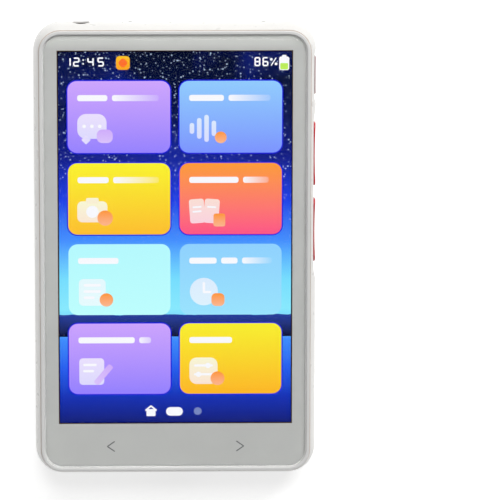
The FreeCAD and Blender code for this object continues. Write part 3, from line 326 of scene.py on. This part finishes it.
finishOf = {
    "whiteShell": ["rear_case"],
    "whiteFrame": ["front_frame"],
    "seamBead": ["seam_seal"],
    "greyPrint": ["border_film"],
    "darkRed": ["power_key"],
    "red": ["talk_key_upper", "talk_key_lower"],
    "blackPlastic": ["headphone_jack", "usb_c_insert", "speaker", "camera_module", "key_switches"],
    "rubber": ["microphone_boots", "power_stem", "talk_upper_stem", "talk_lower_stem"],
    "tape": ["glass_tape", "battery_tape"],
    "steel": ["usb_c_shell", "microphones", "processor_shield", "radio_shield", "case_screws",
              "board_screws", "wifi_antenna"],
    "ringMetal": ["camera_ring"],
    "board": ["main_board", "usb_board", "key_board"],
    "chip": ["board_chips", "flex_connectors"],
    "film": ["lcd_flex", "board_ribbon", "battery_lead"],
    "foil": ["battery"],
    "lamp": ["flash_led", "flash_window"],
    "screenBlack": ["touch_sensor", "lcd_panel", "lcd_backlight"],
    "glass": ["cover_glass"],
    "lens": ["camera_window"],
    "cloth": ["speaker_mesh"],
}

for finish, names in finishOf.items():
    for name in names:
        for place in nodes[name].material_slots:
            place.material = finishes[finish]
print("finishes set")


# Turns built faces into an object of one material.
def makeObject(build, name, material):
    mesh = bpy.data.meshes.new(name)
    build.to_mesh(mesh)
    build.free()
    mesh.materials.append(material)
    piece = bpy.data.objects.new(name, mesh)
    bpy.context.scene.collection.objects.link(piece)
    return piece


# The lit picture fills the print's window. Its parts lie in thin layers, counted up from
# the print's underside, and the printed marks lie in the topmost.
display = {
    "halfWidth": 25.8,
    "low": -38.6,
    "high": 44.9,
    "firstLayer": 0.012,
    "layerStep": 0.012,
    "layers": {"rim": 0, "dark": 0.5, "sky": 1, "outline": 2, "tile": 3, "label": 4, "icon": 4,
               "detail": 5, "accent": 6, "ink": 10.2},
    "arcSteps": 6,
    "leastFlat": 0.01,  # left between two rounded corners
}

border = {
    "halfWidth": 28.6,
    "halfLength": 48.1,
    "corner": 3.6,
    "thick": 0.07,
    "intoGlass": 0.02,  # bonded to the glass, so no air lies between
    "arcSteps": 8,
}


# A closed ring of edges.
def closeRing(build, points, height):
    ring = [build.verts.new((x * mm, y * mm, height)) for x, y in points]
    return [build.edges.new((ring[i - 1], ring[i])) for i in range(len(ring))]


def borderPrint():
    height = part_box("border_film")[1].z + border["intoGlass"] * mm
    corner, steps = border["corner"], border["arcSteps"]
    outside = []
    for quarter, (sideX, sideY) in enumerate(((1, 1), (-1, 1), (-1, -1), (1, -1))):
        for step in range(steps + 1):
            angle = (quarter + step / steps) * math.pi / 2
            outside.append((sideX * (border["halfWidth"] - corner) + corner * math.cos(angle),
                            sideY * (border["halfLength"] - corner) + corner * math.sin(angle)))
    half, low, high = display["halfWidth"], display["low"], display["high"]
    build = bmesh.new()
    edges = closeRing(build, outside, height)
    edges += closeRing(build, ((-half, low), (half, low), (half, high), (-half, high)), height)
    bmesh.ops.triangle_fill(build, use_beauty=True, edges=edges, normal=(0, 0, 1))
    piece = makeObject(build, "border_print", finishes["greyPrint"])
    thicken = piece.modifiers.new("thickness", "SOLIDIFY")
    thicken.thickness = border["thick"] * mm
    thicken.offset = -1
    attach(piece, "root")
    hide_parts("border_film")


turnedSides = 40


# A round piece from a closed profile of (radius, distance along the axis).
def turnedPiece(name, centre, axis, profile, finish, smooth=False):
    build = bmesh.new()
    rings = []
    for radius, along in profile:
        ring = []
        for side in range(turnedSides):
            angle = side / turnedSides * 2 * math.pi
            across, rise = radius * math.cos(angle), radius * math.sin(angle)
            offset = (across, along, rise) if axis == "y" else (across, rise, along)
            ring.append(build.verts.new([(a + b) * mm for a, b in zip(centre, offset)]))
        rings.append(ring)
    for first, second in zip(rings, rings[1:] + rings[:1]):
        for i in range(turnedSides):
            face = build.faces.new((first[i - 1], first[i], second[i], second[i - 1]))
            face.smooth = smooth
    bmesh.ops.recalc_face_normals(build, faces=build.faces)
    piece = makeObject(build, name, finishes[finish])
    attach(piece, "root")


# Dark sleeves inside the round holes of the socket end.
sleeves = {
    "wall": 0.05,
    "innerEnd": 48.25,
    "holes": [  # name, x, z, radius, outer end
        ("socket_sleeve", -20.5, 6.1, 1.89, 50.0),
        ("sound_sleeve_left", -9.7, 5.4, 0.57, 50.43),
        ("sound_sleeve_right", 19.4, 5.4, 0.57, 50.43),
    ],
}


def makeSleeves():
    innerEnd = sleeves["innerEnd"]
    for name, x, z, radius, outerEnd in sleeves["holes"]:
        inner = radius - sleeves["wall"]
        profile = [(radius, innerEnd), (radius, outerEnd), (inner, outerEnd), (inner, innerEnd)]
        turnedPiece(name, (x, 0, z), "y", profile, "greyPlastic")


# The rear camera, behind its window: a stepped black throat and a small domed lens.
rearCamera = {
    "centre": (16.0, 38.0, 0.0),
    "throat": [(3.3, 1.42), (3.3, 1.15), (2.9, 1.15), (2.9, 1.24), (2.4, 1.24), (2.4, 1.33),
               (1.7, 1.33), (1.7, 1.42)],
    "dome": [(0.02, 0.86), (0.4, 0.88), (0.8, 0.94), (1.15, 1.04), (1.42, 1.18), (1.6, 1.4), (0.02, 1.4)],
}


def makeRearCamera():
    centre = rearCamera["centre"]
    turnedPiece("camera_throat", centre, "z", rearCamera["throat"], "blackPlastic")
    turnedPiece("camera_lens", centre, "z", rearCamera["dome"], "lensCoat", smooth=True)


borderPrint()
makeSleeves()
makeRearCamera()
print("border, sleeves and camera made")


white = tone(250, 250, 255)
orange = tone(255, 150, 50)
violet = tone(208, 172, 252)
deepBlue = tone(24, 30, 220)

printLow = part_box("border_film")[0].z


def blendColours(first, second, share):
    return tuple(a + (b - a) * share for a, b in zip(first, second))


# A flat rounded shape in one layer, shaded from top to bottom and, where asked, to the right.
def addShape(build, centre, size, corner, layer, top, bottom=None, right=None, turn=0.0):
    width, height = size
    corner = min(corner, width / 2 - display["leastFlat"], height / 2)
    bottom = bottom or top
    steps = display["arcSteps"]
    upper = []
    for step in range(steps + 1):
        angle = step / steps * math.pi / 2
        upper.append((height / 2 - corner + corner * math.cos(angle),
                      width / 2 - corner + corner * math.sin(angle)))
    rows = upper + [(-y, half) for y, half in reversed(upper)]
    level = printLow + (display["firstLayer"] + display["layers"][layer] * display["layerStep"]) * mm
    tint = build.verts.layers.float_color["tint"]
    cosine, sine = math.cos(math.radians(turn)), math.sin(math.radians(turn))
    previous = None
    for y, half in rows:
        colour = blendColours(bottom, top, y / height + 0.5)
        pair = []
        for x, shade in ((-half, colour), (half, right or colour)):
            spot = (centre[0] + x * cosine - y * sine, centre[1] + x * sine + y * cosine)
            vertex = build.verts.new((spot[0] * mm, spot[1] * mm, level))
            vertex[tint] = shade
            pair.append(vertex)
        if previous:
            build.faces.new((pair[0], pair[1], previous[1], previous[0]))
        previous = pair


def newBuild():
    build = bmesh.new()
    build.verts.layers.float_color.new("tint")
    return build


def screenPiece(build, name, material):
    piece = makeObject(build, name, material)
    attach(piece, "root")


def tintOf(tree):
    tint = tree.nodes.new("ShaderNodeAttribute")
    tint.attribute_name = "tint"
    return tint.outputs["Color"]


shine = {"strength": 1.0, "roughness": 0.4}


# The picture shines, and takes nothing from the lamps.
def shiningMaterial(name):
    material, tree, shader = plainMaterial(name)
    shader.inputs["Base Color"].default_value = (0, 0, 0, 1)
    shader.inputs["Roughness"].default_value = shine["roughness"]
    shader.inputs["Emission Strength"].default_value = shine["strength"]
    shader.inputs["Specular IOR Level"].default_value = 0.0
    return material, tree, shader.inputs["Emission Color"]


def tintedLight():
    material, tree, glow = shiningMaterial("screen graphics")
    tree.links.new(tintOf(tree), glow)
    return material


inkRoughness = 0.45


def tintedInk():
    material, tree, shader = plainMaterial("printed marks")
    tree.links.new(tintOf(tree), shader.inputs["Base Color"])
    shader.inputs["Roughness"].default_value = inkRoughness
    return material


# The background: a lake under a night sky, with a glow at the skyline, low hills and a shore.
sky = {
    "stops": [  # share of the display's height, and its tone there
        (0.0, tone(8, 22, 112)), (0.073, tone(12, 46, 182)), (0.15, tone(34, 92, 236)),
        (0.226, tone(60, 138, 252)), (0.31, tone(136, 234, 255)), (0.39, tone(118, 222, 255)),
        (0.495, tone(66, 142, 255)), (0.6, tone(26, 62, 230)), (0.714, tone(12, 26, 136)),
        (0.82, tone(2, 14, 78)), (0.92, tone(0, 8, 52)), (1.0, tone(0, 5, 36)),
    ],
    "hills": 0.0022,  # metres from the lowest to the highest
    "ridgeScale": 130.0,
    "ridgeDetail": 4.0,
    "crest": -13.9,
    "shore": -18.9,
    "hillTop": -13.0,
    "hillTones": (tone(3, 6, 34), tone(40, 66, 168)),
    "cloudScale": 70.0,
    "cloudDetail": 6.0,
    "cloudRange": (0.5, 0.78),
    "cloudShare": 0.3,
    "cloudTone": tone(24, 52, 205),
    "fadeIn": (0, 20),  # clouds and stars come in between these heights
    "stars": 760.0,
    "starTone": tone(190, 214, 255),
    "starCore": 0.012,
    "starLayers": ((0.86, 0.1, 0.65), (0.62, 0.085, 0.9), (0.38, 0.065, 1.0)),  # scale, size, brightness
}


def nightSky():
    group, given, result = newGroup(
        "night sky", [("Stars", "Float", sky["stars"]), ("Hills", "Float", sky["hills"])],
        [("Color", "Color")])
    place, split = addPlace(group)
    x, y = split["X"], split["Y"]

    level = addRange(group, y, 0.0, 1.0, display["low"] * mm, display["high"] * mm)
    ramp = group.nodes.new("ShaderNodeValToRGB")
    while len(ramp.color_ramp.elements) < len(sky["stops"]):
        ramp.color_ramp.elements.new(0.5)
    for element, (position, colour) in zip(ramp.color_ramp.elements, sky["stops"]):
        element.position = position
        element.color = colour
    group.links.new(level, ramp.inputs["Fac"])

    along = group.nodes.new("ShaderNodeCombineXYZ")
    group.links.new(x, along.inputs["X"])
    ridge = addNoise(group, along.outputs[0], sky["ridgeScale"], sky["ridgeDetail"])
    lift = addMath(group, "MULTIPLY", addMath(group, "SUBTRACT", ridge, 0.5), given["Hills"])
    belowCrest = addMath(group, "LESS_THAN", y, addMath(group, "ADD", lift, sky["crest"] * mm))
    aboveShore = addMath(group, "GREATER_THAN", y, sky["shore"] * mm)
    hills = addMath(group, "MULTIPLY", belowCrest, aboveShore)
    slope = addRange(group, y, 0.0, 1.0, sky["shore"] * mm, sky["hillTop"] * mm)
    picture = addMix(group, hills, ramp.outputs["Color"], addMix(group, slope, *sky["hillTones"]))

    skyward = addRange(group, y, 0.0, 1.0, sky["fadeIn"][0] * mm, sky["fadeIn"][1] * mm)
    cloud = addNoise(group, place, sky["cloudScale"], sky["cloudDetail"])
    haze = addRange(group, cloud, 0.0, sky["cloudShare"], *sky["cloudRange"])
    picture = addMix(group, addMath(group, "MULTIPLY", haze, skyward), picture, sky["cloudTone"])

    for scale, reach, strength in sky["starLayers"]:
        cells = group.nodes.new("ShaderNodeTexVoronoi")
        cells.voronoi_dimensions = "2D"
        group.links.new(place, cells.inputs["Vector"])
        group.links.new(addMath(group, "MULTIPLY", given["Stars"], scale), cells.inputs["Scale"])
        speck = addRange(group, cells.outputs["Distance"], strength, 0.0, sky["starCore"], reach)
        picture = addMix(group, addMath(group, "MULTIPLY", speck, skyward), picture, sky["starTone"])
    group.links.new(picture, result["Color"])
    return group


def wallpaperMaterial():
    material, tree, glow = shiningMaterial("wallpaper")
    tree.links.new(addGroup(tree, nightSky()).outputs["Color"], glow)
    return material


lit = tintedLight()
ink = tintedInk()

# The display's thin dark rim: how much smaller than the window each sheet is, its corner and tone.
rim = {
    "brown": (0.04, 0.25, tone(84, 56, 42)),
    "black": (0.24, 0.2, tone(3, 3, 6)),
    "sky": (0.6, 0.1, white),
}


def drawBase():
    middle = (0.0, (display["low"] + display["high"]) / 2)
    width, height = 2 * display["halfWidth"], display["high"] - display["low"]
    build = newBuild()
    for part, layer in (("brown", "rim"), ("black", "dark")):
        less, corner, colour = rim[part]
        addShape(build, middle, (width - less, height - less), corner, layer, colour)
    screenPiece(build, "display_edge", lit)
    build = newBuild()
    less, corner, colour = rim["sky"]
    addShape(build, middle, (width - less, height - less), corner, "sky", colour)
    screenPiece(build, "display_wallpaper", wallpaperMaterial())


grid = {
    "columns": (-12.27, 12.2),
    "tops": (38.15, 19.95, 1.9, -15.95),
    "width": 22.4,
    "height": 15.9,
    "corner": 2.0,
    "outline": 0.28,
    "iconPaleness": 0.66,
    "accentPaleness": 0.25,
}

# The tiles, row by row. Their marks are drawn about the tile's lower left corner, each as
# (x, y, width, height, corner, turn). The words are bars, given by their lengths.
tiles = [
    {
        "name": "talk", "top": tone(207, 166, 255), "bottom": tone(150, 130, 255),
        "outlined": True, "accentTone": violet, "words": (6.6, 10.2),
        "icon": [(5.3, 5.9, 6.4, 5.5, 1.9, 0), (4.0, 2.9, 1.5, 1.5, 0.2, 45)],
        "detail": [(3.6, 5.9, 0.8, 0.8, 0.4, 0), (5.3, 5.9, 0.8, 0.8, 0.4, 0),
                   (7.0, 5.9, 0.8, 0.8, 0.4, 0)],
        "accent": [(8.1, 3.7, 3.5, 3.0, 1.2, 0)],
    },
    {
        "name": "sound", "top": tone(146, 204, 255), "bottom": tone(124, 148, 255),
        "outlined": True, "accentTone": orange, "words": (7.6, 9.2),
        "icon": [(2.7, 5.4, 1.0, 2.4, 0.5, 0), (4.3, 5.4, 1.0, 4.6, 0.5, 0),
                 (5.9, 5.4, 1.0, 6.0, 0.5, 0), (7.5, 5.4, 1.0, 3.4, 0.5, 0)],
        "detail": [],
        "accent": [(9.0, 3.4, 2.6, 2.6, 1.3, 0)],
    },
    {
        "name": "camera", "top": tone(252, 244, 44), "bottom": tone(255, 190, 44),
        "outlined": True, "accentTone": orange, "words": (6.8, 10.0),
        "icon": [(5.3, 5.1, 6.6, 4.7, 1.1, 0), (5.3, 7.6, 2.8, 1.2, 0.4, 0)],
        "detail": [(5.3, 5.1, 2.7, 2.7, 1.35, 0)],
        "accent": [(8.1, 3.7, 3.4, 3.4, 1.7, 0)],
    },
    {
        "name": "book", "top": tone(255, 156, 52), "bottom": tone(255, 84, 134),
        "outlined": True, "accentTone": orange, "words": (10.8, 5.6),
        "icon": [(3.8, 5.2, 3.3, 5.4, 0.6, 4), (7.0, 5.2, 3.3, 5.4, 0.6, -4)],
        "detail": [(3.8, 6.1, 2.0, 0.4, 0.2, 4), (3.8, 5.1, 2.0, 0.4, 0.2, 4),
                   (7.0, 6.1, 2.0, 0.4, 0.2, -4)],
        "accent": [(8.7, 3.2, 2.6, 2.9, 0.5, 0)],
    },
    {
        "name": "list", "top": tone(182, 250, 255), "bottom": tone(190, 255, 255),
        "outlined": False, "accentTone": orange, "words": (8.9,),
        "icon": [(5.2, 5.1, 5.9, 6.0, 1.0, 0)],
        "detail": [(5.2, 6.7, 3.8, 0.6, 0.3, 0), (5.2, 5.3, 3.8, 0.6, 0.3, 0),
                   (4.5, 3.9, 2.4, 0.6, 0.3, 0)],
        "accent": [(8.3, 3.4, 3.0, 3.0, 1.5, 0)],
    },
    {
        "name": "clock", "top": tone(144, 210, 255), "bottom": tone(154, 228, 255),
        "outlined": False, "accentTone": orange, "words": (6.0, 3.6, 6.6),
        "icon": [(5.3, 5.2, 6.2, 6.2, 3.1, 0)],
        "detail": [(5.3, 6.2, 0.55, 2.3, 0.27, 0), (6.0, 5.1, 1.9, 0.55, 0.27, 0)],
        "accent": [(8.4, 3.4, 2.9, 2.9, 1.0, 0)],
    },
    {
        "name": "note", "top": tone(205, 164, 255), "bottom": tone(148, 128, 255),
        "outlined": True, "accentTone": violet, "words": (12.4, 2.6),
        "icon": [(5.0, 5.1, 5.5, 6.0, 0.8, 0)],
        "detail": [(4.6, 6.6, 3.0, 0.55, 0.27, 0), (4.3, 5.2, 2.4, 0.55, 0.27, 0)],
        "accent": [(7.6, 4.4, 1.3, 5.4, 0.4, -40)],
    },
    {
        "name": "sliders", "top": tone(250, 240, 44), "bottom": tone(255, 182, 34),
        "outlined": True, "accentTone": orange, "words": (9.4,),
        "icon": [(5.2, 5.2, 6.2, 6.0, 1.6, 0)],
        "detail": [(5.2, 6.4, 4.2, 0.5, 0.25, 0), (5.2, 4.4, 4.2, 0.5, 0.25, 0),
                   (6.2, 6.4, 1.2, 1.2, 0.6, 0), (4.1, 4.4, 1.2, 1.2, 0.6, 0)],
        "accent": [(8.3, 3.5, 3.1, 3.1, 1.55, 0)],
    },
]

# The bars that stand for words fade into the tile from fadeStart on.
label = {
    "inset": 2.1,
    "drop": 3.75,
    "barHeight": 1.35,
    "barCorner": 0.5,
    "barGap": 1.0,
    "fadeStart": 13.0,
    "fadeRun": 5.5,
    "groundShare": 0.25,  # how far down the tile's shading it fades to
}


def addLabel(build, tile, left, level):
    ground = blendColours(tile["top"], tile["bottom"], label["groundShare"])
    x = left
    for length in tile["words"]:
        ends = []
        for reach in (x - left, x + length - left):
            fade = min(1.0, max(0.0, (reach - label["fadeStart"]) / label["fadeRun"]))
            ends.append(blendColours(white, ground, fade))
        addShape(build, (x + length / 2, level), (length, label["barHeight"]), label["barCorner"],
                 "label", ends[0], right=ends[1])
        x += length + label["barGap"]


def addTile(index, tile):
    width, height, outline = grid["width"], grid["height"], grid["outline"]
    x = grid["columns"][index % 2]
    upper = grid["tops"][index // 2]
    centre = (x, upper - height / 2)
    left, lower = x - width / 2, upper - height
    build = newBuild()
    if tile["outlined"]:
        size = (width + 2 * outline, height + 2 * outline)
        addShape(build, centre, size, grid["corner"] + outline, "outline", deepBlue)
    addShape(build, centre, (width, height), grid["corner"], "tile", tile["top"], tile["bottom"])
    addLabel(build, tile, left + label["inset"], upper - label["drop"])
    shades = {
        "icon": [blendColours(tile[end], white, grid["iconPaleness"]) for end in ("top", "bottom")],
        "detail": [white, white],
        "accent": [tile["accentTone"], blendColours(tile["accentTone"], white, grid["accentPaleness"])],
    }
    for kind, (first, last) in shades.items():
        for spotX, spotY, wide, high, corner, turn in tile[kind]:
            spot = (left + spotX, lower + spotY)
            addShape(build, spot, (wide, high), corner, kind, first, last, turn=turn)
    screenPiece(build, "tile_" + tile["name"], lit)


# The figures are drawn in strokes: (x, y, upright) in shares of half a figure's width and height.
figures = {
    "strokes": {
        "a": (0, 1, False), "b": (1, 0.5, True), "c": (1, -0.5, True), "d": (0, -1, False),
        "e": (-1, -0.5, True), "f": (-1, 0.5, True), "g": (0, 0, False),
    },
    "digits": {"1": "bc", "2": "abged", "4": "fgbc", "5": "afgcd", "8": "abcdefg", "6": "afgedc"},
    "thick": 0.33,
    "height": 1.7,
}


def addDigit(build, digit, x, y, width):
    thick, height = figures["thick"], figures["height"]
    for stroke in figures["digits"][digit]:
        across, along, upright = figures["strokes"][stroke]
        size = (thick, height / 2) if upright else (width, thick)
        spot = (x + across * width / 2, y + along * height / 2)
        addShape(build, spot, size, thick / 2, "tile", white)


# The row at the top of the display: a clock, a small app mark, and the battery with its share.
# Each plain mark is (x, y, width, height, corner, layer, top tone, bottom tone, turn).
statusBar = {
    "level": 42.38,
    "clock": [("1", -23.4), ("2", -21.5), ("4", -18.4), ("5", -16.2)],
    "clockWidth": 1.1,
    "share": [("8", 18.0), ("6", 19.75)],
    "shareWidth": 1.0,
    "marks": [
        (-20.0, 41.96, 0.34, 0.34, 0.17, "tile", white, white, 0),
        (-20.0, 42.8, 0.34, 0.34, 0.17, "tile", white, white, 0),
        (-11.35, 42.15, 3.0, 3.05, 0.8, "tile", tone(255, 196, 40), tone(250, 160, 30), 0),
        (-11.35, 42.15, 1.7, 1.7, 0.6, "icon", tone(255, 112, 44), tone(255, 112, 44), 45),
        (21.03, 42.88, 0.62, 0.62, 0.31, "tile", white, white, 0),
        (22.07, 41.88, 0.62, 0.62, 0.31, "tile", white, white, 0),
        (21.55, 42.38, 0.22, 2.1, 0.1, "tile", white, white, -32),
        (23.85, 42.0, 2.2, 3.0, 0.45, "tile", white, white, 0),
        (23.85, 43.6, 0.95, 0.5, 0.15, "tile", white, white, 0),
        (23.85, 41.35, 1.7, 1.4, 0.25, "icon", tone(190, 240, 90), tone(190, 240, 90), 0),
    ],
}

# The row at the bottom: a house with its roof, a wide button and a dot.
homeRow = {
    "marks": [
        (-5.42, -36.1, 2.0, 1.6, 0.2, "tile", white, white, 0),
        (-6.02, -35.1, 1.75, 0.35, 0.17, "tile", white, white, 40),
        (-4.82, -35.1, 1.75, 0.35, 0.17, "tile", white, white, -40),
        (-0.23, -35.85, 3.7, 1.95, 0.95, "tile", white, white, 0),
        (4.92, -35.8, 1.72, 1.72, 0.86, "tile", tone(120, 136, 190), tone(120, 136, 190), 0),
    ],
}


def addMarks(build, marks):
    for x, y, wide, high, corner, layer, top, bottom, turn in marks:
        addShape(build, (x, y), (wide, high), corner, layer, top, bottom, turn=turn)


def drawStatusBar():
    build = newBuild()
    for digit, x in statusBar["clock"]:
        addDigit(build, digit, x, statusBar["level"], statusBar["clockWidth"])
    for digit, x in statusBar["share"]:
        addDigit(build, digit, x, statusBar["level"], statusBar["shareWidth"])
    addMarks(build, statusBar["marks"])
    screenPiece(build, "status_bar", lit)


def drawHomeRow():
    build = newBuild()
    addMarks(build, homeRow["marks"])
    screenPiece(build, "home_row", lit)


# Two thin arrows printed on the chin.
touchMarks = {
    "tone": tone(70, 70, 73),
    "level": -43.75,
    "stroke": (2.05, 0.26),
    "corner": 0.12,
    "spread": 0.56,
    "turn": 35,
    "places": [("touch_mark_back", -14.3, -1), ("touch_mark_menu", 14.3, 1)],  # name, x, way it points
}


def drawTouchMarks():
    for name, x, side in touchMarks["places"]:
        build = newBuild()
        for rise in (-1, 1):
            spot = (x, touchMarks["level"] + rise * touchMarks["spread"])
            turn = -side * rise * touchMarks["turn"]
            addShape(build, spot, touchMarks["stroke"], touchMarks["corner"], "ink", touchMarks["tone"],
                     turn=turn)
        screenPiece(build, name, ink)


drawBase()
for index, tile in enumerate(tiles):
    addTile(index, tile)
drawStatusBar()
drawHomeRow()
drawTouchMarks()
print("display drawn")


table = {
    "halfSize": 1.5,
    "segments": 8,
    "drop": 0.0002,  # keeps it just clear of the object's underside
    "colour": (0.97, 0.97, 0.97, 1),
    "roughness": 0.9,
    "whiten": 0.5,  # whitens the page without lighting the object
}


def makeFloor():
    build = bmesh.new()
    bmesh.ops.create_grid(
        build, x_segments=table["segments"], y_segments=table["segments"], size=table["halfSize"])
    material, tree, shader = plainMaterial("table")
    shader.inputs["Base Color"].default_value = table["colour"]
    shader.inputs["Roughness"].default_value = table["roughness"]
    shader.inputs["Specular IOR Level"].default_value = 0.0
    shader.inputs["Emission Color"].default_value = (1, 1, 1, 1)
    path = tree.nodes.new("ShaderNodeLightPath").outputs
    seen = addMath(tree, "ADD", path["Is Camera Ray"], path["Is Glossy Ray"])
    seen = addMath(tree, "ADD", seen, path["Is Transmission Ray"])
    tree.links.new(addMath(tree, "MULTIPLY", seen, table["whiten"]), shader.inputs["Emission Strength"])
    floor = makeObject(build, "table", material)
    floor.location.z = -table["drop"]


studio = {"light": 0.33, "page": 1.0}  # what lights the object, and what the camera sees


def makeWorld():
    world = bpy.data.worlds.new("studio")
    world.use_nodes = True
    tree = world.node_tree
    around = tree.nodes["Background"]
    around.inputs["Color"].default_value = (1, 1, 1, 1)
    around.inputs["Strength"].default_value = studio["light"]
    page = tree.nodes.new("ShaderNodeBackground")
    page.inputs["Color"].default_value = (1, 1, 1, 1)
    page.inputs["Strength"].default_value = studio["page"]
    path = tree.nodes.new("ShaderNodeLightPath").outputs
    seen = addMath(tree, "ADD", path["Is Camera Ray"], path["Is Transmission Ray"])
    mix = tree.nodes.new("ShaderNodeMixShader")
    tree.links.new(seen, mix.inputs["Fac"])
    tree.links.new(around.outputs[0], mix.inputs[1])
    tree.links.new(page.outputs[0], mix.inputs[2])
    tree.links.new(mix.outputs[0], tree.nodes["World Output"].inputs["Surface"])
    bpy.context.scene.world = world


lamps = {
    "key": {"place": (0.5, 0.8, 0.62), "size": (0.5, 0.4), "watts": 5.5, "colour": (1.0, 0.99, 0.975)},
    "overhead": {"place": (-0.1, 0.85, 1.2), "size": (0.6, 0.6), "watts": 5.9, "colour": (1.0, 1.0, 1.0)},
}


# Every lamp faces the object.
def makeLamps():
    for name, look in lamps.items():
        lamp = bpy.data.lights.new(name, "AREA")
        lamp.shape = "RECTANGLE"
        lamp.size, lamp.size_y = look["size"]
        lamp.energy = look["watts"]
        lamp.color = look["colour"]
        holder = bpy.data.objects.new(name, lamp)
        holder.location = look["place"]
        holder.rotation_euler = (-Vector(look["place"])).to_track_quat("-Z", "Y").to_euler()
        bpy.context.scene.collection.objects.link(holder)


shot = {
    "target": (16.57, -0.477, 6.0),
    "tilt": 0.1926,  # radians, towards the socket end
    "pan": -0.0248,
    "roll": 0.0016,
    "distance": 1013.9,
    "lens": 330.2,
    "sensor": 36.0,
    "clip": 0.05,  # metres
}


def makeCamera():
    tilt, pan, roll = shot["tilt"], shot["pan"], shot["roll"]
    back = Vector((
        math.sin(pan) * math.cos(tilt), math.sin(tilt), math.cos(tilt) * math.cos(pan))).normalized()
    right = Vector((0, 1, 0)).cross(back).normalized()
    up = back.cross(right)
    rolledRight = math.cos(roll) * right + math.sin(roll) * up
    rolledUp = back.cross(rolledRight)
    place = Vector(shot["target"]) * mm + back * shot["distance"] * mm
    camera = bpy.data.cameras.new("camera")
    camera.lens = shot["lens"]
    camera.sensor_width = shot["sensor"]
    camera.clip_start = shot["clip"]
    holder = bpy.data.objects.new("camera", camera)
    turn = Matrix((rolledRight, rolledUp, back)).transposed()
    holder.matrix_world = Matrix.Translation(place) @ turn.to_4x4()
    bpy.context.scene.collection.objects.link(holder)
    bpy.context.scene.camera = holder


makeFloor()
makeWorld()
makeLamps()
makeCamera()
bpy.context.scene.view_settings.view_transform = "Standard"
print("studio set")
